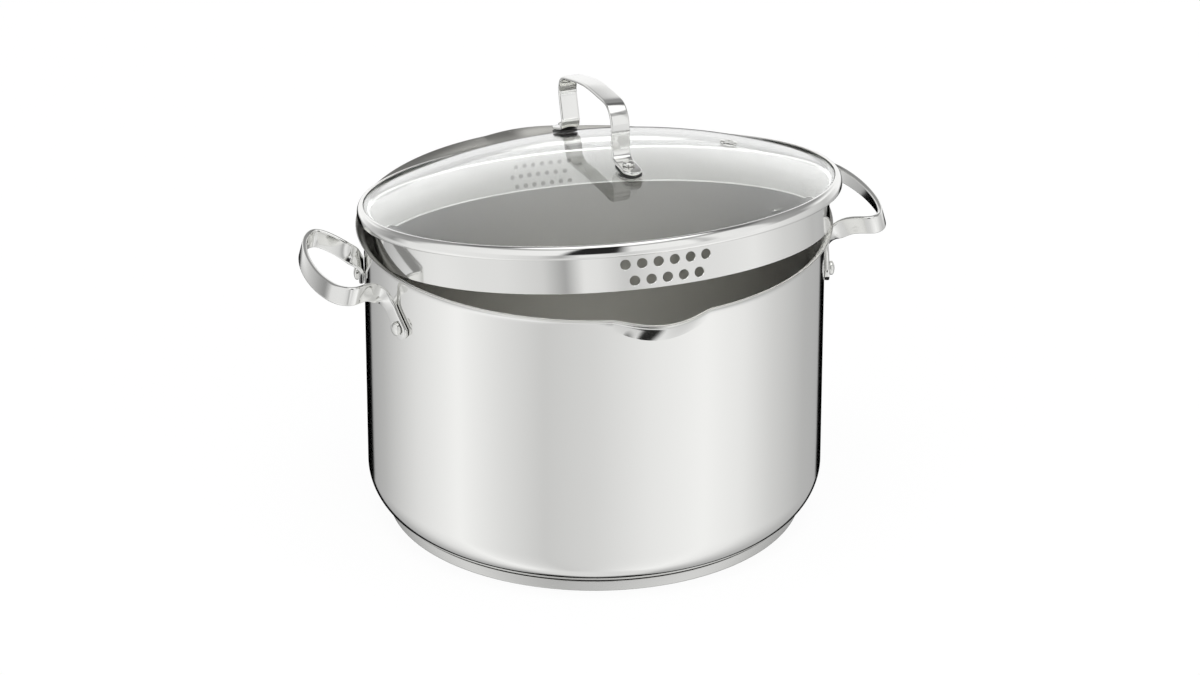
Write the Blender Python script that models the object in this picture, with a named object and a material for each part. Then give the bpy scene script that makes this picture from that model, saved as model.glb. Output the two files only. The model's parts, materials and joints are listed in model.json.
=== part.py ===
"""Stockpot with two pouring spouts and a glass strainer lid set ajar on its rim.

The pot stands on the XY plane with +Z up. Its spouts face -Y and +Y and its strap handles
face -X and +X. Named sizes are in millimetres and degrees, and meshes are in metres.
"""

from math import acos, ceil, cos, degrees, hypot, pi, radians, sin, sqrt

import bmesh
import bpy
from mathutils import Matrix, Vector

MM = 0.001

# Clearances
SEAT_GAP = 0.3
RIVET_CLEARANCE = 0.3

# Pot body
INNER_DIAMETER = 240.4
BODY_SHEET = 0.8
RIM_HEIGHT = 162.2
CORNER_RADIUS = 21.5
LIP_ROUND = 5.4
LIP_TURN = 77.0

# Pouring spouts
SPOUT_WIDTH = 54.0
SPOUT_REACH = 7.0
SPOUT_DIP = 1.9
SPOUT_DEPTH = 15.0
SPOUT_CORNER_DROP = 1.0

# Base
BASE_HEIGHT = 3.6
CAP_INSET = 10.6
CAP_SHEET = 0.6
CAP_EDGE_ROUND = 1.2

# Side handles, each a strap whose feet lie along the wall
HANDLE_TURN = 1.8
HANDLE_WIDTH = 10.0
HANDLE_SHEET = 2.5
HANDLE_LEAN = 15.4
GRIP_REACH = 33.7
GRIP_DROP = 8.4
SHOULDER_REACH = 21.0
SHOULDER_HALF_SPAN = 39.1
SHOULDER_DROP = 7.0
NECK_REACH = 9.1
NECK_HALF_SPAN = 28.3
NECK_DROP = 10.5
BEND_HALF_SPAN = 26.7
BEND_DROP = 19.9
FOOT_LENGTH = 19.6
FOOT_SLOPE = 46.0
HANDLE_RIVET_INSET = 6.0
HANDLE_RIVET_HEAD = 7.4
HANDLE_RIVET_SHANK = 4.0
HANDLE_RIVET_DOME = 2.5
HANDLE_RIVET_TAIL = 8.5

# Lid pose
LID_TILT = 11.0
LID_TILT_HEADING = 4.0

# Lid band, glass and gasket
BAND_OVERHANG = 1.6
BAND_SHEET = 0.7
BAND_ROUND = 1.5
BAND_LIP = 3.4
BAND_FOOT_CLEARANCE = 1.2
GLASS_SHEET = 3.0
GLASS_EDGE_CLEARANCE = 0.6
GLASS_LAND = 3.5
GLASS_RISE = 24.0
GASKET_SHEET = 0.7
GASKET_WIDTH = 4.0

# Strainer skirt
SKIRT_CLEARANCE = 0.8
SKIRT_SHEET = 0.6
SKIRT_DEPTH = 25.9
SKIRT_BEND = 1.0
FLANGE_INSET = 0.7
LARGE_HOLE = 5.4
LARGE_PITCH = 8.48
LARGE_COUNTS = (6, 5)
LARGE_DEPTHS = (12.6, 21.2)
LARGE_SHIFTS = (0.0, 0.0)
SMALL_HOLE = 2.5
SMALL_PITCH = 5.0
SMALL_COUNTS = (7, 7, 7)
SMALL_DEPTHS = (11.5, 17.2, 22.9)
SMALL_SHIFTS = (-0.25, 0.25, -0.25)

# Vent
VENT_OFFSET = 71.0
VENT_TURN = -3.0
VENT_FLANGE = 9.5
VENT_TUBE = 6.0
VENT_BORE = 4.4
VENT_SHEET = 0.7

# Lid handle
KNOB_WIDTH = 10.0
KNOB_SHEET = 2.0
KNOB_TURN = 2.0
KNOB_HEIGHT = 33.6
KNOB_BOW = 2.0
KNOB_BOW_ROUND = 300.0
KNOB_RIVET_OFFSET = 53.0
KNOB_FOOT_TIP = 10.5
KNOB_LEG_OFFSET = 40.5
KNOB_TOP_OFFSET = 44.0
KNOB_ANKLE_ROUND = 5.0
KNOB_SHOULDER_ROUND = 12.0
KNOB_SEAL_SHEET = 1.2
KNOB_SEAL_MARGIN = 0.8
KNOB_WASHER = 11.0
KNOB_WASHER_SHEET = 0.8
KNOB_RIVET_HEAD = 6.4
KNOB_RIVET_SHANK = 4.0
KNOB_RIVET_DOME = 2.0
KNOB_RIVET_TAIL = 8.0

# Shared finish
STRAP_EASE = 0.8
RIVET_EDGE_SHARE = 0.45
RIVET_TAIL_SHARE = 0.5
RIVET_TAIL_EASE = 0.4

# Mesh steps
WALL_STEP = 5.0
TURN_STEP = 6.0
DOME_STEP = 4.0
SPOUT_STEPS = 12
ARC_STEP = 18.0
LIP_STEP = 26.0
SEAL_STEP = 20.0
VENT_STEP = 20.0
EDGE_STEP = 45.0
CORE_STEPS = 4
STRAP_STEP = 5.0
HOLE_SIDES = 12
SMALL_HOLE_SIDES = 8

# Sizes that follow from the ones above
INNER_R = INNER_DIAMETER / 2
OUTER_R = INNER_R + BODY_SHEET
LIP_START = RIM_HEIGHT - (LIP_ROUND + BODY_SHEET) * sin(radians(LIP_TURN))
RIM_R = OUTER_R + LIP_ROUND * (1 - cos(radians(LIP_TURN)))
SPOUT_HALF_ANGLE = degrees(SPOUT_WIDTH / 2 / RIM_R)
BAND_R = RIM_R + BAND_OVERHANG
GLASS_R = BAND_R - BAND_SHEET - GLASS_EDGE_CLEARANCE
GLASS_TOP = -BAND_SHEET - SEAT_GAP
GASKET_TOP = GLASS_TOP - GLASS_SHEET - SEAT_GAP
FLANGE_TOP = GASKET_TOP - GASKET_SHEET - SEAT_GAP
BAND_HEIGHT = -FLANGE_TOP + SKIRT_SHEET + SEAT_GAP + BAND_SHEET
SKIRT_R = INNER_R - SKIRT_CLEARANCE
FLANGE_R = GLASS_R - FLANGE_INSET
DOME_BASE_R = GLASS_R - GLASS_LAND
DOME_R = (DOME_BASE_R**2 + GLASS_RISE**2) / (2 * GLASS_RISE)
DOME_CENTRE = GLASS_TOP + GLASS_RISE - DOME_R


def arc(centre, radius, start, end, step=ARC_STEP):
    """Points of an arc in a profile plane, from one angle in degrees to another."""
    steps = max(1, ceil(abs(end - start) / step))
    angles = [radians(start + (end - start) * i / steps) for i in range(steps + 1)]
    return [(centre[0] + radius * cos(a), centre[1] + radius * sin(a)) for a in angles]


def offset(points, distance):
    """Moves an open outline sideways, to the left of the way it runs, with mitred corners."""
    moved = []
    for i, point in enumerate(points):
        before = points[max(i - 1, 0)]
        after = points[min(i + 1, len(points) - 1)]
        sides = []
        for start, end in ((before, point), (point, after)):
            length = hypot(end[0] - start[0], end[1] - start[1])
            if length > 1e-9:
                sides.append(((start[1] - end[1]) / length, (end[0] - start[0]) / length))
        across = (sides[0][0] + sides[-1][0], sides[0][1] + sides[-1][1])
        scale = 2 * distance / (across[0] ** 2 + across[1] ** 2)
        moved.append((point[0] + across[0] * scale, point[1] + across[1] * scale))
    return moved


def shell(outline, sheet):
    """Closes an open outline into a sheet that lies to its left."""
    return outline + offset(outline, sheet)[::-1]


def steel(name, colour, roughness, metallic=1.0):
    """Opaque finish of one sub-part."""
    material = bpy.data.materials.new(name)
    material.use_nodes = True
    shader = material.node_tree.nodes["Principled BSDF"]
    shader.inputs["Base Color"].default_value = (*colour, 1.0)
    shader.inputs["Roughness"].default_value = roughness
    shader.inputs["Metallic"].default_value = metallic
    material.diffuse_color = (*colour, 1.0)
    return material


def clear_glass(name):
    """Clear finish of the lid's pane."""
    material = steel(name, (0.86, 0.92, 0.9), 0.03, 0.0)
    shader = material.node_tree.nodes["Principled BSDF"]
    shader.inputs["Transmission Weight"].default_value = 1.0
    shader.inputs["IOR"].default_value = 1.5
    material.diffuse_color = (0.86, 0.92, 0.9, 0.35)
    return material


def add_empty(name, matrix, parent=None):
    """Empty that holds a group of pieces."""
    empty = bpy.data.objects.new(name, None)
    bpy.context.collection.objects.link(empty)
    empty.parent = parent
    empty.matrix_local = matrix
    return empty


def add_object(name, points, faces, material=None, parent=None, matrix=None):
    """Object from points in millimetres, with its faces turned outward and shaded smooth."""
    mesh = bpy.data.meshes.new(name)
    mesh.from_pydata([Vector(point) * MM for point in points], [], faces)
    work = bmesh.new()
    work.from_mesh(mesh)
    bmesh.ops.recalc_face_normals(work, faces=work.faces)
    work.to_mesh(mesh)
    work.free()
    mesh.shade_smooth()
    mesh.set_sharp_from_angle(angle=radians(35))
    thing = bpy.data.objects.new(name, mesh)
    bpy.context.collection.objects.link(thing)
    thing.parent = parent
    if matrix is not None:
        thing.matrix_local = matrix
    if material is not None:
        mesh.materials.append(material)
    return thing


def turn_faces(columns, rows, closed):
    """Faces between the columns of a turned shape, where a column is a list of point numbers."""
    faces = []
    for i, column in enumerate(columns):
        following = columns[(i + 1) % len(columns)]
        for j in range(rows if closed else rows - 1):
            k = (j + 1) % rows
            corners = [column[j], column[k], following[k], following[j]]
            face = list(dict.fromkeys(corners))
            if len(face) > 2:
                faces.append(face)
    return faces


def turned(name, profile_at, angles, material, parent=None, matrix=None):
    """Solid turned about its Z axis from a profile that may vary with the angle.

    A profile is a list of (radius, height). One that starts and ends on the axis makes a
    disc or a bowl, and any other makes a ring.
    """
    points = []
    columns = []
    poles = {}
    for angle in angles:
        column = []
        profile = profile_at(angle)
        for row, (radius, height) in enumerate(profile):
            if radius < 1e-6:
                if row not in poles:
                    poles[row] = len(points)
                    points.append((0.0, 0.0, height))
                column.append(poles[row])
                continue
            column.append(len(points))
            a = radians(angle)
            points.append((radius * cos(a), radius * sin(a), height))
        columns.append(column)
    faces = turn_faces(columns, len(columns[0]), closed=not poles)
    return add_object(name, points, faces, material, parent, matrix)


def even_angles(step=TURN_STEP):
    """Angles of an evenly turned shape, one degree-sized step after another."""
    count = ceil(360 / step)
    return [360 * i / count for i in range(count)]


def spout_angles():
    """Angles of the body, closer together across the two spouts."""
    half = SPOUT_HALF_ANGLE
    plain = 180 - 2 * half
    plain_steps = ceil(plain / WALL_STEP)
    angles = []
    for spout in (90, 270):
        angles += [spout - half + 2 * half * i / SPOUT_STEPS for i in range(SPOUT_STEPS)]
        angles += [spout + half + plain * i / plain_steps for i in range(plain_steps)]
    return angles


def rods(name, frames, diameter, length, parent=None, sides=HOLE_SIDES):
    """Cutter with one rod centred on each frame and lying along that frame's Z axis."""
    points = []
    faces = []
    for frame in frames:
        first = len(points)
        for height in (-length / 2, length / 2):
            for i in range(sides):
                a = 2 * pi * i / sides
                rim_point = Vector((diameter / 2 * cos(a), diameter / 2 * sin(a), height))
                points.append(frame @ rim_point)
        low = list(range(first, first + sides))
        high = list(range(first + sides, first + 2 * sides))
        faces += [low, high]
        faces += [[low[i - 1], low[i], high[i], high[i - 1]] for i in range(sides)]
    cutter = add_object(name, points, faces, parent=parent)
    cutter.hide_render = True
    cutter.display_type = "WIRE"
    return cutter


def cut(target, cutter):
    """Takes a cutter's volume out of a piece."""
    modifier = target.modifiers.new(cutter.name, "BOOLEAN")
    modifier.operation = "DIFFERENCE"
    modifier.solver = "EXACT"
    modifier.object = cutter


def frame_along(origin, direction, up=(0.0, 0.0, 1.0)):
    """Frame in millimetres whose Z axis points along a direction."""
    z = Vector(direction).normalized()
    x = Vector(up).cross(z)
    if x.length < 1e-6:
        x = Vector((1.0, 0.0, 0.0))
    x.normalize()
    y = z.cross(x)
    return Matrix.Translation(Vector(origin)) @ Matrix((x, y, z)).transposed().to_4x4()


def placed(frame):
    """The same frame with its origin in metres, for an object's matrix."""
    matrix = frame.copy()
    matrix.translation = frame.translation * MM
    return matrix


def strap_section(width, sheet):
    """Cross-section of a strap with eased edges, as (through the sheet, across the width)."""
    x = sheet / 2
    y = width / 2
    ease = min(STRAP_EASE, x * 0.9, y * 0.9)
    corner = [(x, y - ease), (x - ease, y)]
    half = corner + [(-a, b) for a, b in corner[::-1]]
    return half + [(-a, -b) for a, b in half]


def strap(name, centres, ups, widths, sheet, material, parent=None):
    """Flat strap swept along a path; each up vector shows the way its width lies."""
    points = []
    for i, centre in enumerate(centres):
        tangent = (centres[min(i + 1, len(centres) - 1)] - centres[max(i - 1, 0)]).normalized()
        across = (ups[i] - ups[i].dot(tangent) * tangent).normalized()
        normal = tangent.cross(across)
        section = strap_section(widths[i], sheet)
        points += [centre + normal * x + across * y for x, y in section]
    sides = len(section)
    faces = [list(range(sides)), list(range(len(points) - sides, len(points)))]
    for i in range(len(centres) - 1):
        for j in range(sides):
            k = (j + 1) % sides
            faces.append([i * sides + j, i * sides + k, (i + 1) * sides + k, (i + 1) * sides + j])
    return add_object(name, points, faces, material, parent)


def smooth_path(knots, spacing):
    """Points about one spacing apart on a smooth curve through every knot."""
    ends = [knots[0] * 2 - knots[1], *knots, knots[-1] * 2 - knots[-2]]
    path = []
    for a, b, c, d in zip(ends, ends[1:], ends[2:], ends[3:]):
        times = [0.0]
        for start, end in ((a, b), (b, c), (c, d)):
            times.append(times[-1] + sqrt((end - start).length))
        leave = ((b - a) / times[1] - (c - a) / times[2]
                 + (c - b) / (times[2] - times[1]))
        arrive = ((c - b) / (times[2] - times[1]) - (d - b) / (times[3] - times[1])
                  + (d - c) / (times[3] - times[2]))
        span = times[2] - times[1]
        steps = max(1, round((c - b).length / spacing))
        for i in range(steps):
            t = i / steps
            path.append((2 * t**3 - 3 * t**2 + 1) * b + (t**3 - 2 * t**2 + t) * span * leave
                        + (3 * t**2 - 2 * t**3) * c + (t**3 - t**2) * span * arrive)
    path.append(knots[-1])
    return path


def filleted(corners, radii):
    """Flat path through corner points, with each inner corner rounded to its radius."""
    path = [corners[0]]
    for before, corner, after, radius in zip(corners, corners[1:], corners[2:], radii):
        come = (corner - before).normalized()
        go = (after - corner).normalized()
        turn = come.angle(go)
        reach = radius * sin(turn / 2) / cos(turn / 2)
        inward = (go - come).normalized()
        centre = corner + inward * (radius / cos(turn / 2))
        start = corner - come * reach - centre
        steps = max(2, ceil(degrees(turn) / ARC_STEP))
        axis = come.cross(go).normalized()
        path += [centre + Matrix.Rotation(turn * i / steps, 3, axis) @ start
                 for i in range(steps + 1)]
    path.append(corners[-1])
    return path


def rivet(name, frame, head, dome, shank, grip, tail, material, parent=None):
    """Rivet on a frame at its head's seat, with its head outward along the frame's Z axis."""
    edge = dome * RIVET_EDGE_SHARE
    crown = [(head / 2 * cos(radians(a)), edge + (dome - edge) * sin(radians(a)))
             for a in (90, 60, 30, 0)]
    tail_end = grip + dome * RIVET_TAIL_SHARE
    profile = [*crown, (head / 2, 0.0), (shank / 2, 0.0), (shank / 2, -grip),
               (tail / 2, -grip), (tail / 2 - RIVET_TAIL_EASE, -tail_end), (0.0, -tail_end)]
    return turned(name, lambda angle: profile, even_angles(360 / HOLE_SIDES), material,
                  parent, placed(frame))


def body_profile(angle):
    """Body's outer and inner side at one angle, from the bottom's centre to the lip."""
    from_spout = abs((angle % 180) - 90) / SPOUT_HALF_ANGLE
    share = min(from_spout, 1.0)
    weight = (1 + cos(pi * share)) / 2
    spout_foot = RIM_HEIGHT - SPOUT_DEPTH
    crease = spout_foot + (LIP_START - SPOUT_CORNER_DROP - spout_foot) * share**2
    corner_centre = (OUTER_R - CORNER_RADIUS, BASE_HEIGHT + CORNER_RADIUS)
    lip_centre = (OUTER_R + LIP_ROUND, LIP_START)
    outline = [(0.0, BASE_HEIGHT)]
    outline += arc(corner_centre, CORNER_RADIUS, -90, 0)
    outline += [(OUTER_R, crease + (LIP_START - crease) * part) for part in (0, 0.5)]
    outline += arc(lip_centre, LIP_ROUND, 180, 180 - LIP_TURN, LIP_STEP)
    pressed = []
    for radius, height in outline:
        ramp = max(0.0, (height - crease) / (RIM_HEIGHT - crease)) * weight
        pressed.append((radius + SPOUT_REACH * ramp, height - SPOUT_DIP * ramp))
    return shell(pressed, BODY_SHEET)


def under_body(radius):
    """Height one seat gap below the body's underside and rounded corner."""
    past = max(0.0, radius - (OUTER_R - CORNER_RADIUS))
    reach = CORNER_RADIUS + SEAT_GAP
    return BASE_HEIGHT + CORNER_RADIUS - sqrt(max(0.0, reach**2 - past**2))


def make_pot():
    """Body and the two pieces of its base."""
    polished = steel("polished_steel", (0.80, 0.80, 0.79), 0.12)
    satin = steel("satin_base_steel", (0.72, 0.72, 0.71), 0.28)
    core_metal = steel("core_aluminium", (0.62, 0.62, 0.62), 0.45)
    body = turned("pot_body", body_profile, spout_angles(), polished)

    cap_r = OUTER_R - CAP_INSET
    core_r = cap_r - CAP_SHEET - SEAT_GAP
    core_low = CAP_SHEET + SEAT_GAP
    turn_start = min(OUTER_R - CORNER_RADIUS, core_r - CAP_EDGE_ROUND)
    core = [(0.0, core_low), (core_r - CAP_EDGE_ROUND, core_low),
            (core_r, core_low + CAP_EDGE_ROUND)]
    for i in range(CORE_STEPS + 1):
        radius = core_r + (turn_start - core_r) * i / CORE_STEPS
        core.append((radius, under_body(radius)))
    core.append((0.0, under_body(0.0)))
    turned("base_core", lambda angle: core, even_angles(), core_metal)

    outline = [(0.0, 0.0)]
    outline += arc((cap_r - CAP_EDGE_ROUND, CAP_EDGE_ROUND), CAP_EDGE_ROUND, -90, 0, EDGE_STEP)
    outline.append((cap_r, under_body(cap_r - CAP_SHEET)))
    cap = shell(outline, CAP_SHEET)
    turned("base_cap", lambda angle: cap, even_angles(), satin)
    return body


def on_wall(along, height, radius):
    """Point at an arc length from the +X side of the wall."""
    a = along / radius
    return Vector((radius * cos(a), radius * sin(a), height))


def side_handle_path():
    """Centre line of the right handle and the way its width lies at each point."""
    wall_r = OUTER_R + SEAT_GAP + HANDLE_SHEET / 2
    slope = radians(FOOT_SLOPE)
    half = []
    for share in (1.0, 0.5, 0.0):
        along = BEND_HALF_SPAN + FOOT_LENGTH * share * cos(slope)
        drop = BEND_DROP + FOOT_LENGTH * share * sin(slope)
        half.append(on_wall(along, RIM_HEIGHT - drop, wall_r))
    half.append(Vector((OUTER_R + NECK_REACH, NECK_HALF_SPAN, RIM_HEIGHT - NECK_DROP)))
    for turn in (0, 30, 60):
        a = radians(turn)
        out = SHOULDER_REACH + (GRIP_REACH - SHOULDER_REACH) * sin(a)
        drop = SHOULDER_DROP + (GRIP_DROP - SHOULDER_DROP) * sin(a)
        half.append(Vector((OUTER_R + out, SHOULDER_HALF_SPAN * cos(a), RIM_HEIGHT - drop)))
    middle = Vector((OUTER_R + GRIP_REACH, 0.0, RIM_HEIGHT - GRIP_DROP))
    mirrored = [Vector((knot.x, -knot.y, knot.z)) for knot in half[::-1]]
    path = smooth_path([*half, middle, *mirrored], STRAP_STEP)
    for point in path:
        radius = hypot(point.x, point.y)
        if radius < wall_r:
            point.xy *= wall_r / radius
    lean = radians(HANDLE_LEAN)
    upright = Vector((-sin(lean), 0.0, cos(lean)))
    ups = []
    for before, point, after in zip([path[0], *path], path, [*path[1:], path[-1]]):
        outward = Vector((point.x, point.y, 0.0)).normalized()
        along_wall = (after - before).cross(outward).normalized()
        along_wall *= -1 if along_wall.z < 0 else 1
        share = min(1.0, (hypot(point.x, point.y) - wall_r) / NECK_REACH)
        ups.append(along_wall.lerp(upright, share))
    return path, ups


def make_side_handle(side, heading, body, metal):
    """One side handle and its two rivets, on an empty turned to that side of the pot."""
    turn = Matrix.Rotation(radians(heading + HANDLE_TURN), 4, "Z")
    group = add_empty(side + "_handle_group", turn)
    path, ups = side_handle_path()
    handle = strap(side + "_handle", path, ups, [HANDLE_WIDTH] * len(path), HANDLE_SHEET,
                   metal, group)

    seat_r = OUTER_R + SEAT_GAP + HANDLE_SHEET + SEAT_GAP
    grip = seat_r - INNER_R + SEAT_GAP
    rivet_length = FOOT_LENGTH - HANDLE_RIVET_INSET
    slope = radians(FOOT_SLOPE)
    angle = (BEND_HALF_SPAN + rivet_length * cos(slope)) / (
        OUTER_R + SEAT_GAP + HANDLE_SHEET / 2)
    height = RIM_HEIGHT - BEND_DROP - rivet_length * sin(slope)
    frames = []
    for sign in (-1, 1):
        outward = Vector((cos(angle * sign), sin(angle * sign), 0.0))
        spot = outward * seat_r + Vector((0.0, 0.0, height))
        frames.append(frame_along(spot, outward))
        facing = sign * cos(radians(heading))
        word = "back" if facing > 0 else "front"
        rivet(side + "_rivet_" + word, frames[-1], HANDLE_RIVET_HEAD, HANDLE_RIVET_DOME,
              HANDLE_RIVET_SHANK, grip, HANDLE_RIVET_TAIL, metal, group)
    drill = rods(side + "_rivet_drill", frames, HANDLE_RIVET_SHANK + 2 * RIVET_CLEARANCE,
                 4 * grip, group)
    cut(handle, drill)
    cut(body, drill)


def skirt_outline():
    """Outer side of the strainer skirt and the underside of its flange."""
    under = FLANGE_TOP - SKIRT_SHEET
    bend = arc((SKIRT_R + SKIRT_BEND, under - SKIRT_BEND), SKIRT_BEND, 180, 90, EDGE_STEP)
    return [(SKIRT_R, -SKIRT_DEPTH), *bend, (FLANGE_R, under)]


def band_outline():
    """Outer side of the band, from its lower lip round to its upper lip."""
    low = arc((BAND_R - BAND_ROUND, BAND_ROUND - BAND_HEIGHT), BAND_ROUND, -90, 0, EDGE_STEP)
    high = arc((BAND_R - BAND_ROUND, -BAND_ROUND), BAND_ROUND, 0, 90, EDGE_STEP)
    return [(SKIRT_R + BAND_FOOT_CLEARANCE, -BAND_HEIGHT), *low, *high, (BAND_R - BAND_LIP, 0.0)]


def lip_surface(radius):
    """Height of the body's inner surface where it flares, or None where there is none."""
    sheet_round = LIP_ROUND + BODY_SHEET
    if radius <= INNER_R or radius >= RIM_R + SEAT_GAP:
        return None
    level = min(1.0, (OUTER_R + LIP_ROUND - radius) / sheet_round)
    turn = min(acos(level), radians(LIP_TURN))
    return LIP_START + sheet_round * sin(turn)


def lid_pose():
    """Frame of the lid at rest, tilted on the rim with its low side inside the mouth.

    The lid stands off the pot's axis by what its band overhangs the mouth, and drops until
    some point of it is one seat gap from the flared lip.
    """
    tilt = radians(LID_TILT)
    shift = BAND_R - INNER_R
    steps = ceil(SKIRT_DEPTH)
    outline = band_outline() + [(SKIRT_R, -SKIRT_DEPTH * i / steps) for i in range(1, steps + 1)]
    height = 0.0
    for radius, level in outline:
        for degree in range(360):
            a = radians(degree)
            x = radius * cos(a) * cos(tilt) - level * sin(tilt) + shift
            rise = radius * cos(a) * sin(tilt) + level * cos(tilt)
            surface = lip_surface(hypot(x, radius * sin(a)) + SEAT_GAP)
            if surface is not None:
                height = max(height, surface + SEAT_GAP - rise)
    heading = radians(LID_TILT_HEADING - 90)
    uphill = Vector((cos(heading), sin(heading), 0.0))
    axis = uphill.cross(Vector((0.0, 0.0, 1.0)))
    centre = uphill * shift + Vector((0.0, 0.0, height))
    return Matrix.Translation(centre) @ Matrix.Rotation(tilt, 4, axis)


def on_dome(offset_x, offset_y):
    """Frame on top of the glass, with its Z axis square to the dome."""
    outward = Vector((offset_x, offset_y, 0.0))
    height = DOME_CENTRE + sqrt(DOME_R**2 - outward.length_squared)
    normal = Vector((offset_x, offset_y, height - DOME_CENTRE))
    return frame_along((offset_x, offset_y, height), normal, outward)


def make_glass(lid, knob_drill):
    """Glass pane, its gasket and its vent."""
    pane_glass = clear_glass("clear_glass")
    silicone = steel("clear_silicone", (0.75, 0.75, 0.74), 0.5, 0.0)
    lining = steel("vent_steel", (0.78, 0.78, 0.77), 0.2)
    rim_angle = degrees(acos(DOME_BASE_R / DOME_R))
    top = [(GLASS_R, GLASS_TOP)] + arc((0.0, DOME_CENTRE), DOME_R, rim_angle, 90, DOME_STEP)
    profile = offset(top, GLASS_SHEET)[::-1] + top
    glass = turned("lid_glass", lambda angle: profile, even_angles(), pane_glass, lid)
    cut(glass, knob_drill)

    vent_heading = radians(VENT_TURN)
    vent = on_dome(VENT_OFFSET * cos(vent_heading), VENT_OFFSET * sin(vent_heading))
    hole = rods("vent_drill", [vent], VENT_TUBE + 2 * SEAT_GAP, 6 * GLASS_SHEET, lid)
    cut(glass, hole)
    over = SEAT_GAP + VENT_SHEET
    under = -GLASS_SHEET - SEAT_GAP
    rim = VENT_FLANGE / 2
    eyelet = [(VENT_BORE / 2, over), (rim - VENT_SHEET, over), (rim, SEAT_GAP),
              (VENT_TUBE / 2, SEAT_GAP), (VENT_TUBE / 2, under), (rim, under),
              (rim - VENT_SHEET, under - VENT_SHEET), (VENT_BORE / 2, under - VENT_SHEET)]
    turned("vent_grommet", lambda angle: eyelet, even_angles(VENT_STEP), lining, lid,
           placed(vent))

    gasket_low = GASKET_TOP - GASKET_SHEET
    gasket = [(FLANGE_R - GASKET_WIDTH, gasket_low), (FLANGE_R, gasket_low),
              (FLANGE_R, GASKET_TOP), (FLANGE_R - GASKET_WIDTH, GASKET_TOP)]
    turned("glass_gasket", lambda angle: gasket, even_angles(), silicone, lid)


def hole_frames(counts, depths, shifts, pitch, heading):
    """Frames on the skirt for rows of holes, centred on a heading."""
    frames = []
    for count, depth, shift in zip(counts, depths, shifts):
        for i in range(round(count)):
            along = (i - (count - 1) / 2 + shift) * pitch
            a = radians(heading) + along / SKIRT_R
            outward = Vector((cos(a), sin(a), 0.0))
            frames.append(frame_along(outward * SKIRT_R - Vector((0.0, 0.0, depth)), outward))
    return frames


def make_skirt_and_band(lid):
    """Strainer skirt with its two groups of holes, and the band that holds it to the glass."""
    polished = steel("strainer_steel", (0.80, 0.80, 0.79), 0.12)
    band_metal = steel("band_steel", (0.82, 0.82, 0.81), 0.08)
    skirt_profile = shell(skirt_outline(), SKIRT_SHEET)
    skirt = turned("strainer_skirt", lambda angle: skirt_profile, even_angles(), polished, lid)
    drill_length = 10 * SKIRT_SHEET
    large = hole_frames(LARGE_COUNTS, LARGE_DEPTHS, LARGE_SHIFTS, LARGE_PITCH, 270)
    small = hole_frames(SMALL_COUNTS, SMALL_DEPTHS, SMALL_SHIFTS, SMALL_PITCH, 90)
    cut(skirt, rods("large_hole_drill", large, LARGE_HOLE, drill_length, lid))
    cut(skirt, rods("small_hole_drill", small, SMALL_HOLE, drill_length, lid,
                    SMALL_HOLE_SIDES))
    band_profile = shell(band_outline(), BAND_SHEET)
    turned("lid_band", lambda angle: band_profile, even_angles(), band_metal, lid)


def knob_foot(sign):
    """Frame at a lid handle rivet, with X pointing out along the foot and Z off the glass."""
    spot = on_dome(0.0, sign * KNOB_RIVET_OFFSET)
    normal = spot.col[2].to_3d()
    along = Vector((0.0, sign, 0.0))
    along = (along - along.dot(normal) * normal).normalized()
    across = normal.cross(along)
    axes = Matrix((along, across, normal)).transposed().to_4x4()
    return Matrix.Translation(spot.translation) @ axes


def knob_path():
    """Centre line of the lid handle from one foot's tip to the other, and its widths."""
    foot_level = 2 * SEAT_GAP + KNOB_SEAL_SHEET + KNOB_SHEET / 2
    top = DOME_CENTRE + DOME_R + KNOB_HEIGHT - KNOB_SHEET / 2
    corners = []
    for sign in (-1, 1):
        foot = knob_foot(sign)
        tip = foot @ Vector((KNOB_FOOT_TIP, 0.0, foot_level))
        heel = foot @ Vector((0.0, 0.0, foot_level))
        along = foot.col[0].to_3d()
        ankle = heel - along * ((KNOB_RIVET_OFFSET - KNOB_LEG_OFFSET) / abs(along.y))
        shoulder = Vector((0.0, sign * KNOB_TOP_OFFSET, top - KNOB_BOW))
        corners.append([tip, ankle, shoulder])
    first, last = corners
    rounds = [KNOB_ANKLE_ROUND, KNOB_SHOULDER_ROUND, KNOB_BOW_ROUND, KNOB_SHOULDER_ROUND,
              KNOB_ANKLE_ROUND]
    path = filleted([*first, Vector((0.0, 0.0, top)), *last[::-1]], rounds)

    tongue = [(KNOB_WIDTH / 2 * (1 - cos(radians(a))), KNOB_WIDTH * sin(radians(a)))
              for a in (15, 35, 55, 75, 90)]
    centres = []
    widths = []
    for tip, inward, turn in ((path[0], path[1] - path[0], 1), (path[-1], path[-2] - path[-1], -1)):
        inward = inward.normalized()
        stretch = [(tip + inward * along, width) for along, width in tongue][::turn]
        if turn < 0:
            centres += path[1:-1]
            widths += [KNOB_WIDTH] * (len(path) - 2)
        centres += [point for point, width in stretch]
        widths += [width for point, width in stretch]
    return centres, widths


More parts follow.
